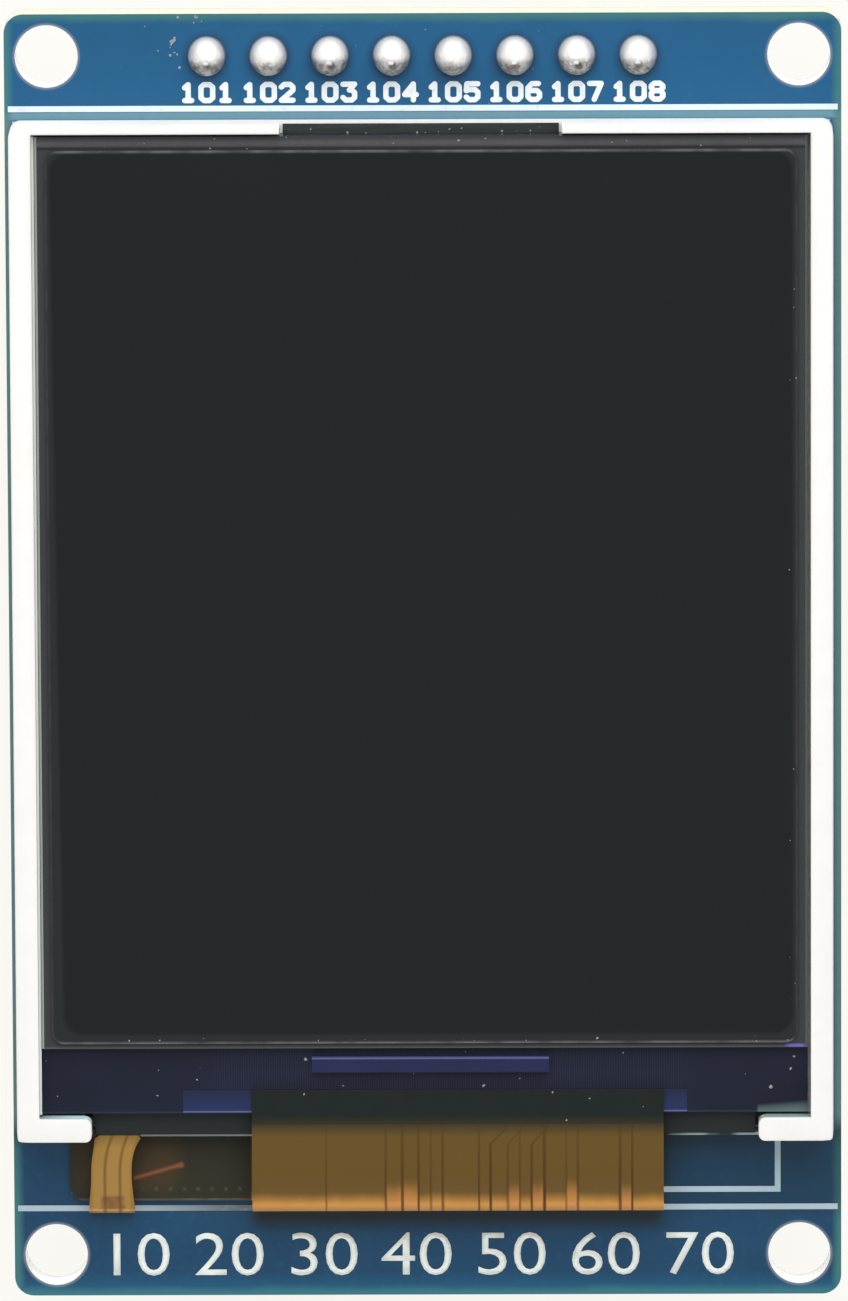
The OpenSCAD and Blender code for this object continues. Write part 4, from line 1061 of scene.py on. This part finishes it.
class MODULE_OT_tail(bpy.types.Operator):
    """Makes the amber lamp tail that leans out of the frame and folds under"""
    bl_idname = "module.tail"
    bl_label = "Lamp tail"

    def execute(self, context):
        tint = context.scene.module_colours
        sizes = context.scene.module_sizes
        low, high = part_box("backlight_flex")
        frame_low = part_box("backlight_frame")[0]
        root_x = frame_low.x + sizes.tail_inset
        film = Finish("tail_film")
        spot, x, y, z = film.place()
        streak = film.grain(film.stretched(spot, 5, 0.6, 1), 1, 4, 0.6)
        reach = frame_low.y / MM - low.y / MM
        way = film.rise(y, frame_low.y / MM, frame_low.y / MM - reach / 2)
        lean = (1 - (1 - way) ** 2.4) * (sizes.tail_lean / MM)
        across = x - root_x / MM + lean
        shade = film.blend(streak * 0.5, tint.tail, rgb(160, 116, 54))
        lines = film.near(across, -0.27, 0.05, 0.05).most(film.near(across, 0.36, 0.05, 0.05))
        shade = film.blend(lines * 0.9, shade, tint.tail_line)
        # Painted shade darkens the tail's rims
        rims = film.rise(abs(across), 0.72, 0.85)
        shade = film.blend(rims * 0.4, shade, tint.tail_line)
        # Painted shadow of the rail on the tail near the frame
        painted_shade = film.rise(y, frame_low.y / MM - 0.5, frame_low.y / MM)
        shade = film.blend(painted_shade * 0.45, shade, rgb(96, 74, 30))
        # Two soldered pads show through the film near its turn
        pads = (film.within(y, low.y / MM + 0.2, low.y / MM + 0.8, 0.06)
                * film.near(across, 0.05, 0.5, 0.06))
        blots = film.grain(spot, 1.5, 1)
        shade = film.blend(pads * film.rise(blots, 0.3, 0.7), shade, rgb(116, 76, 44))
        inside = film.rise(y, frame_low.y / MM + 0.02, frame_low.y / MM + 0.06)
        shade = film.blend(inside, shade, rgb(30, 32, 32))
        film.put("Base Color", shade)
        film.put("Roughness", streak * 0.15 + 0.25)
        film.put("Metallic", (1 - lines) * (1 - inside) * 0.2)
        film.bump(lines * -1 + streak * 0.2, 0.03)

        bm = bmesh.new()
        half = sizes.tail_root / 2
        inner = frame_low.y + sizes.rail_depth
        folded(bm, root_x - half, root_x + half, inner, high.z, low.z, low.y, sizes.tail_thickness,
               sizes.tail_droop, sizes.tail_droop_radius, sizes.tail_slope, sizes.tail_under)
        middle = frame_low.y - reach * MM / 2
        for vert in bm.verts:
            out = min(1, max(0, (frame_low.y - vert.co.y) / (reach * MM / 2)))
            wide = min(1, max(0, (middle - vert.co.y) / (reach * MM / 2)))
            out = 1 - (1 - out) ** 2.4
            wide = wide * wide * (3 - 2 * wide)
            width = (sizes.tail_root + (sizes.tail_end - sizes.tail_root) * wide) / sizes.tail_root
            if out > 0:
                width += sizes.tail_flare / sizes.tail_root * (1 - out) ** 2
            vert.co.x = root_x + (vert.co.x - root_x) * width - sizes.tail_lean * out
        slab(bm, (low.x, inner - sizes.tail_lap, high.z - sizes.tail_thickness), high)
        new_piece("lamp_tail", bm, film, "tail_film", "backlight_flex")
        return {"FINISHED"}


class MODULE_OT_back_parts(bpy.types.Operator):
    """Finishes the parts on the back and gives them tinned pads"""
    bl_idname = "module.back_parts"
    bl_label = "Parts on the back"

    # Half the width and half the depth of a pad, in millimetres, and the height of all pads
    LEG_PAD = Vector((0.34, 0.28, 0)) * MM
    CHIP_PAD = Vector((0.52, 0.26, 0)) * MM
    PAD_HEIGHT = Vector((0, 0, 0.03)) * MM
    # Distance of the outer legs from a part's middle, and of a leg's pad from the leg's end
    LEG_SPREAD, LEG_INSET = 0.95, 0.16

    def execute(self, context):
        tint = context.scene.module_colours
        tin = grained("tinned_pads", rgb(206, 204, 200), rgb(160, 158, 152), 4, 4,
                      rough=0.2, spread=0.2, depth_mm=0.02, soft=0.6, Metallic=1)
        bm = bmesh.new()
        for node in ("voltage_regulator", "backlight_transistor"):
            low, high = (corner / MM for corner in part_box(node))
            middle = (low.x + high.x) / 2
            for leg_x, leg_y in ((middle - self.LEG_SPREAD, low.y + self.LEG_INSET),
                                 (middle + self.LEG_SPREAD, low.y + self.LEG_INSET),
                                 (middle, high.y - self.LEG_INSET)):
                pad = Vector((leg_x, leg_y, 0)) * MM
                slab(bm, pad - self.LEG_PAD - self.PAD_HEIGHT, pad + self.LEG_PAD)
            body = Finish("moulded_part_" + node)
            spot, x, y, z = body.place()
            grit = body.grain(spot, 14, 3)
            leg = body.rise(abs(y - (low.y + high.y) / 2), 0.64, 0.66)
            body.put("Base Color", body.blend(leg, body.blend(grit, tint.black, rgb(46, 46, 48)),
                                              rgb(200, 198, 194)))
            body.put("Metallic", leg)
            body.put("Roughness", (1 - leg) * 0.25 + 0.25 + grit * 0.1)
            body.bump(grit, 0.012)
            wear(node, body)
        for node, slot, top, rim in (("chip_resistors", "resistor", (30, 30, 34), (52, 52, 58)),
                                     ("chip_capacitors", "ceramic", (172, 140, 98), (150, 118, 80))):
            low, high = (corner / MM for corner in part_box(node))
            part = Finish(slot)
            spot, x, y, z = part.place()
            grit = part.grain(spot, 10, 3)
            cap = part.rise(abs(y - (low.y + high.y) / 2), 0.49, 0.51)
            part.put("Base Color", part.blend(cap, part.blend(grit, rgb(*top), rgb(*rim)),
                                              rgb(206, 204, 200)))
            part.put("Metallic", cap)
            part.put("Roughness", grit * 0.15 + 0.25)
            part.bump(grit, 0.01)
            wear(node, part)
            xs = sorted({round(v.co.x / MM, 2) for v in NODES[node].data.vertices})
            middles = [(a + b) / 2 for a, b in zip(xs, xs[1:]) if b - a > 0.7]
            for part_x in middles:
                for side in (low.y, high.y):
                    pad = Vector((part_x, side, 0)) * MM
                    slab(bm, pad - self.CHIP_PAD - self.PAD_HEIGHT, pad + self.CHIP_PAD)
        bmesh.ops.bevel(bm, geom=list(bm.edges), offset=0.012 * MM, segments=1, profile=0.5,
                        affect="EDGES", material=-1)
        new_piece("back_pads", bm, tin, "solder")
        return {"FINISHED"}


class MODULE_OT_back_tracks(bpy.types.Operator):
    """Draws the mask-covered tracks, the vias and the printed box on the back"""
    bl_idname = "module.back_tracks"
    bl_label = "Tracks on the back"

    # Corners of the tracks in millimetres, each from a pin or a part to its via
    TRACKS = (
        ((-8.89, 23.6), (-8.89, 21.6), (-10.6, 19.9)),
        ((-6.35, 23.6), (-7, 22.95), (-7, 20.6)),
        ((-3.81, 23.6), (-4.6, 22.8), (-4.6, 2), (-3.2, 0.6), (-3.2, -9)),
        ((-1.27, 23.6), (-2.4, 22.47), (-2.4, 2.6), (-1.6, 1.8), (-1.6, -7.5)),
        ((1.27, 23.6), (0.4, 22.73), (0.4, -9)),
        ((3.81, 23.6), (1.4, 21.19), (1.4, -7.5)),
        ((6.35, 23.6), (6, 23.25), (6, 20.6)),
        ((8.89, 23.6), (8.89, 20.8), (9.4, 20.29)),
        ((-6.05, 17.7), (-6.05, 3), (-5.2, 2.15), (-5.2, -7.5)),
        ((5.05, 17.7), (5.05, 4), (3.9, 2.85), (3.9, -9)),
        ((2.6, 18.2), (2.6, -7.5)),
        ((9.4, 18.2), (9.4, 14), (6.95, 11.55), (6.95, -9)),
        ((11.4, 18.2), (11.4, 12), (8.3, 8.9), (8.3, -7.5)),
        ((-10.6, 18.2), (-10.6, 6), (-6.6, 2), (-6.6, -9)),
    )
    BOX = ((-12.6, 22.3), (12.6, 22.3), (12.6, 16.9), (-12.6, 16.9), (-12.6, 22.3))

    def discs(self, bm, places, segments, radius, z):
        """Adds a flat disc at each place, which is given in millimetres."""
        for x, y in places:
            verts = bmesh.ops.create_circle(bm, cap_ends=True, segments=segments, radius=radius)["verts"]
            bmesh.ops.translate(bm, verts=verts, vec=(x * MM, y * MM, z))

    def execute(self, context):
        tint = context.scene.module_colours
        sizes = context.scene.module_sizes
        finish = Finish("mask_over_copper", Coat_Roughness=0.15)
        spot, x, y, z = finish.place()
        fleck = finish.grain(spot, 3, 4, 0.6)
        finish.put("Base Color", finish.blend(fleck * 0.5, tint.mask_copper, tint.mask))
        finish.put("Roughness", fleck * 0.1 + 0.3)
        finish.put("Coat Weight", fleck * 0.2)
        finish.bump(fleck, 0.005)
        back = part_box("circuit_board")[0].z
        bm = bmesh.new()
        for points in self.TRACKS:
            stroke(bm, [(x * MM, y * MM) for x, y in points], sizes.track_width, back)
        ends = [points[-1] for points in self.TRACKS if points[-1][1] < 0]
        self.discs(bm, ends, 20, sizes.via_radius, back)
        thicken(bm, -sizes.track_height)
        new_piece("back_tracks", bm, finish, "solder_mask")

        dark = grained("via_bore", rgb(20, 46, 70), rgb(96, 110, 112), 8, 2,
                       rough=0.4, spread=0.2, depth_mm=0.01)
        bm = bmesh.new()
        self.discs(bm, ends, 16, sizes.via_radius / 2, back - sizes.track_height)
        thicken(bm, -sizes.track_height / 4)
        new_piece("via_bores", bm, dark, "solder_mask")

        ink = grained("back_ink", tint.ink, rgb(180, 200, 212), 3, 4,
                      rough=0.45, spread=0.2, depth_mm=0.01, share=0.4, soft=0.6)
        bm = bmesh.new()
        stroke(bm, [(x * MM, y * MM) for x, y in self.BOX], sizes.back_line, back - sizes.track_height)
        thicken(bm, -sizes.track_height / 2)
        new_piece("back_print", bm, ink, "ink", smooth=False)
        return {"FINISHED"}


class MODULE_OT_dust(bpy.types.Operator):
    """Scatters flecks of dust and lint over the glass, the flex and the board"""
    bl_idname = "module.dust"
    bl_label = "Dust"

    def execute(self, context):
        dice = random.Random(7)
        dust = grained("dust", rgb(120, 126, 130), rgb(184, 190, 194), 8, 2,
                       rough=0.8, spread=0.1, depth_mm=0.01)
        glass_low, glass_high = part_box("array_glass")
        upper_low, upper_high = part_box("colour_filter_glass")
        coat_low, coat_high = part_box("mask_coat")
        screen_low, screen_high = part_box("front_polarizer")
        board_low, board_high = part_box("circuit_board")
        frame_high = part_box("backlight_frame")[1]
        areas = (
            (26, (glass_low.x, glass_low.y), (glass_high.x, upper_low.y), glass_high.z, 0.11),
            (16, (upper_low.x, screen_high.y), (upper_high.x, upper_high.y), upper_high.z, 0.07),
            (6, (coat_low.x, coat_low.y), (coat_high.x, coat_high.y), coat_high.z, 0.09),
            (14, (screen_low.x, screen_low.y), (screen_high.x, screen_low.y + 0.3 * MM),
             screen_high.z, 0.06),
            (10, (screen_high.x - 0.4 * MM, screen_low.y), (screen_high.x, screen_high.y),
             screen_high.z, 0.05),
            (18, (board_low.x, frame_high.y), (board_high.x, board_high.y), board_high.z, 0.06),
        )
        tape_low, tape_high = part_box("rim_tape")
        notch_x = (tape_low.x + tape_high.x) / 2
        notch = context.scene.module_sizes.notch_width / 2
        dome_low, dome_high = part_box("solder_joints")
        areas += (
            (16, (notch_x - notch, tape_high.y - 0.45 * MM), (notch_x + notch, tape_high.y - 0.1 * MM),
             tape_high.z, 0.07),
            (9, (dome_low.x - 0.7 * MM, dome_low.y), (dome_low.x, dome_high.y), board_high.z, 0.13),
            (5, (dome_low.x - 0.6 * MM, dome_high.y + 0.4 * MM), (dome_low.x + 0.8 * MM, board_high.y),
             board_high.z, 0.12),
        )
        bm = bmesh.new()
        for number, low, high, height, size in areas:
            for _ in range(number):
                span = size * MM * dice.uniform(0.3, 1) ** 1.5
                middle = Vector((dice.uniform(low[0] + span, high[0] - span),
                                 dice.uniform(low[1] + span, high[1] - span), height))
                from_hole = math.hypot(abs(middle.x) - HOLES["spacing_x_mm"] / 2 * MM,
                                       abs(middle.y) - HOLES["spacing_y_mm"] / 2 * MM)
                if from_hole < HOLES["hole_r_mm"] * MM + span:
                    continue
                verts = bmesh.ops.create_icosphere(bm, subdivisions=1, radius=span)["verts"]
                for vert in verts:
                    vert.co *= dice.uniform(0.6, 1)
                bmesh.ops.scale(bm, verts=verts, vec=(1, dice.uniform(0.4, 1), 0.15))
                bmesh.ops.rotate(bm, verts=verts, cent=(0, 0, 0),
                                 matrix=Matrix.Rotation(dice.uniform(0, math.pi), 3, "Z"))
                bmesh.ops.translate(bm, verts=verts, vec=middle + Vector((0, 0, span * 0.1)))
        new_piece("dust_flecks", bm, dust, "ink")
        return {"FINISHED"}


class MODULE_OT_stage(bpy.types.Operator):
    """Sets up the pale floor, the soft lights and the camera"""
    bl_idname = "module.stage"
    bl_label = "Stage"

    # Half the side of the floor, in metres
    FLOOR_REACH = 0.4
    # The camera's turns about X, Y and Z in degrees, its place in its own axes in millimetres, its lens
    CAMERA_TILT, CAMERA_YAW, CAMERA_ROLL = 10.25, -0.55, 0.267
    CAMERA_PLACE = (-0.064, 0.046, 662.9)
    LENS, SENSOR = 441.3, 36

    def soft_box(self, name, place, aim, width, depth, power):
        """Adds a rectangular soft light at a place, turned to aim at a point."""
        light = bpy.data.lights.new(name, "AREA")
        light.shape = "RECTANGLE"
        light.size, light.size_y = width, depth
        light.energy = power
        lamp = bpy.data.objects.new(name, light)
        lamp.location = place
        lamp.rotation_euler = (Vector(aim) - Vector(place)).to_track_quat("-Z", "Y").to_euler()
        lamp.visible_camera = False
        bpy.context.scene.collection.objects.link(lamp)

    def execute(self, context):
        scene = context.scene
        bm = bmesh.new()
        verts = bmesh.ops.create_grid(bm, x_segments=2, y_segments=2, size=self.FLOOR_REACH)["verts"]
        bmesh.ops.translate(bm, verts=verts, vec=(0, 0, CAD_BOX[0].z))
        mesh = bpy.data.meshes.new("floor")
        bm.to_mesh(mesh)
        bm.free()
        floor = bpy.data.objects.new("floor", mesh)
        scene.collection.objects.link(floor)
        pale = Finish("floor", Roughness=0.9, Emission_Strength=1)
        seen = pale.seen()
        pale.put("Base Color", pale.blend(seen, (0.8, 0.8, 0.79), (0.12, 0.12, 0.11)))
        pale.put("Emission Color", pale.blend(seen, (0, 0, 0), (0.87, 0.86, 0.82)))
        mesh.materials.append(pale.material)

        world = bpy.data.worlds.new("studio")
        scene.world = world
        world.use_nodes = True
        sky = Nodes(world.node_tree)
        soft = sky.node("ShaderNodeBackground", None, {"Color": (1, 1, 1), "Strength": 0.24})
        white = sky.node("ShaderNodeBackground", None, {"Color": (1, 1, 1), "Strength": 1})
        mix = sky.node("ShaderNodeMixShader", None, {0: sky.seen(), 1: soft, 2: white})
        sky.link(sky.tree.nodes["World Output"].inputs["Surface"], mix)

        self.soft_box("key", (0.02, 0.285, 0.275), (0, 0, 0), 0.55, 0.36, 1.98)
        self.soft_box("fill", (-0.05, -0.3, 0.12), (0, 0, 0), 0.4, 0.1, 0.55)

        turn_back = (Matrix.Rotation(math.radians(self.CAMERA_ROLL), 3, "Z")
                     @ Matrix.Rotation(math.radians(self.CAMERA_TILT), 3, "X")
                     @ Matrix.Rotation(math.radians(self.CAMERA_YAW), 3, "Y")).transposed()
        data = bpy.data.cameras.new("camera")
        data.lens = self.LENS
        data.sensor_width = self.SENSOR
        data.clip_start, data.clip_end = 0.05, 10
        camera = bpy.data.objects.new("camera", data)
        camera.matrix_world = Matrix.Translation(
            turn_back @ Vector(self.CAMERA_PLACE) * MM) @ turn_back.to_4x4()
        scene.collection.objects.link(camera)
        scene.camera = camera
        scene.view_settings.view_transform = "Standard"
        return {"FINISHED"}


OPERATORS = (MODULE_OT_board, MODULE_OT_numerals, MODULE_OT_header, MODULE_OT_frame,
             MODULE_OT_backlight, MODULE_OT_screen, MODULE_OT_flex, MODULE_OT_tail,
             MODULE_OT_back_parts, MODULE_OT_back_tracks, MODULE_OT_dust, MODULE_OT_stage)


class MODULE_PT_panel(bpy.types.Panel):
    """Lists the pieces of the module with their sizes and colours"""
    bl_idname = "MODULE_PT_panel"
    bl_label = "Display module"
    bl_space_type = "VIEW_3D"
    bl_region_type = "UI"
    bl_category = "Module"

    def draw(self, context):
        for operator in OPERATORS:
            self.layout.operator(operator.bl_idname)
        for group in (context.scene.module_sizes, context.scene.module_colours):
            box = self.layout.box()
            for name in group.__annotations__:
                box.prop(group, name)


CLASSES = (ModuleSizes, ModuleColours, *OPERATORS, MODULE_PT_panel)


def register():
    for cls in CLASSES:
        bpy.utils.register_class(cls)
    bpy.types.Scene.module_sizes = bpy.props.PointerProperty(type=ModuleSizes)
    bpy.types.Scene.module_colours = bpy.props.PointerProperty(type=ModuleColours)


def unregister():
    del bpy.types.Scene.module_colours
    del bpy.types.Scene.module_sizes
    for cls in reversed(CLASSES):
        bpy.utils.unregister_class(cls)


def main():
    register()
    for operator in OPERATORS:
        group, name = operator.bl_idname.split(".")
        getattr(getattr(bpy.ops, group), name)()


if __name__ == "__main__":
    main()
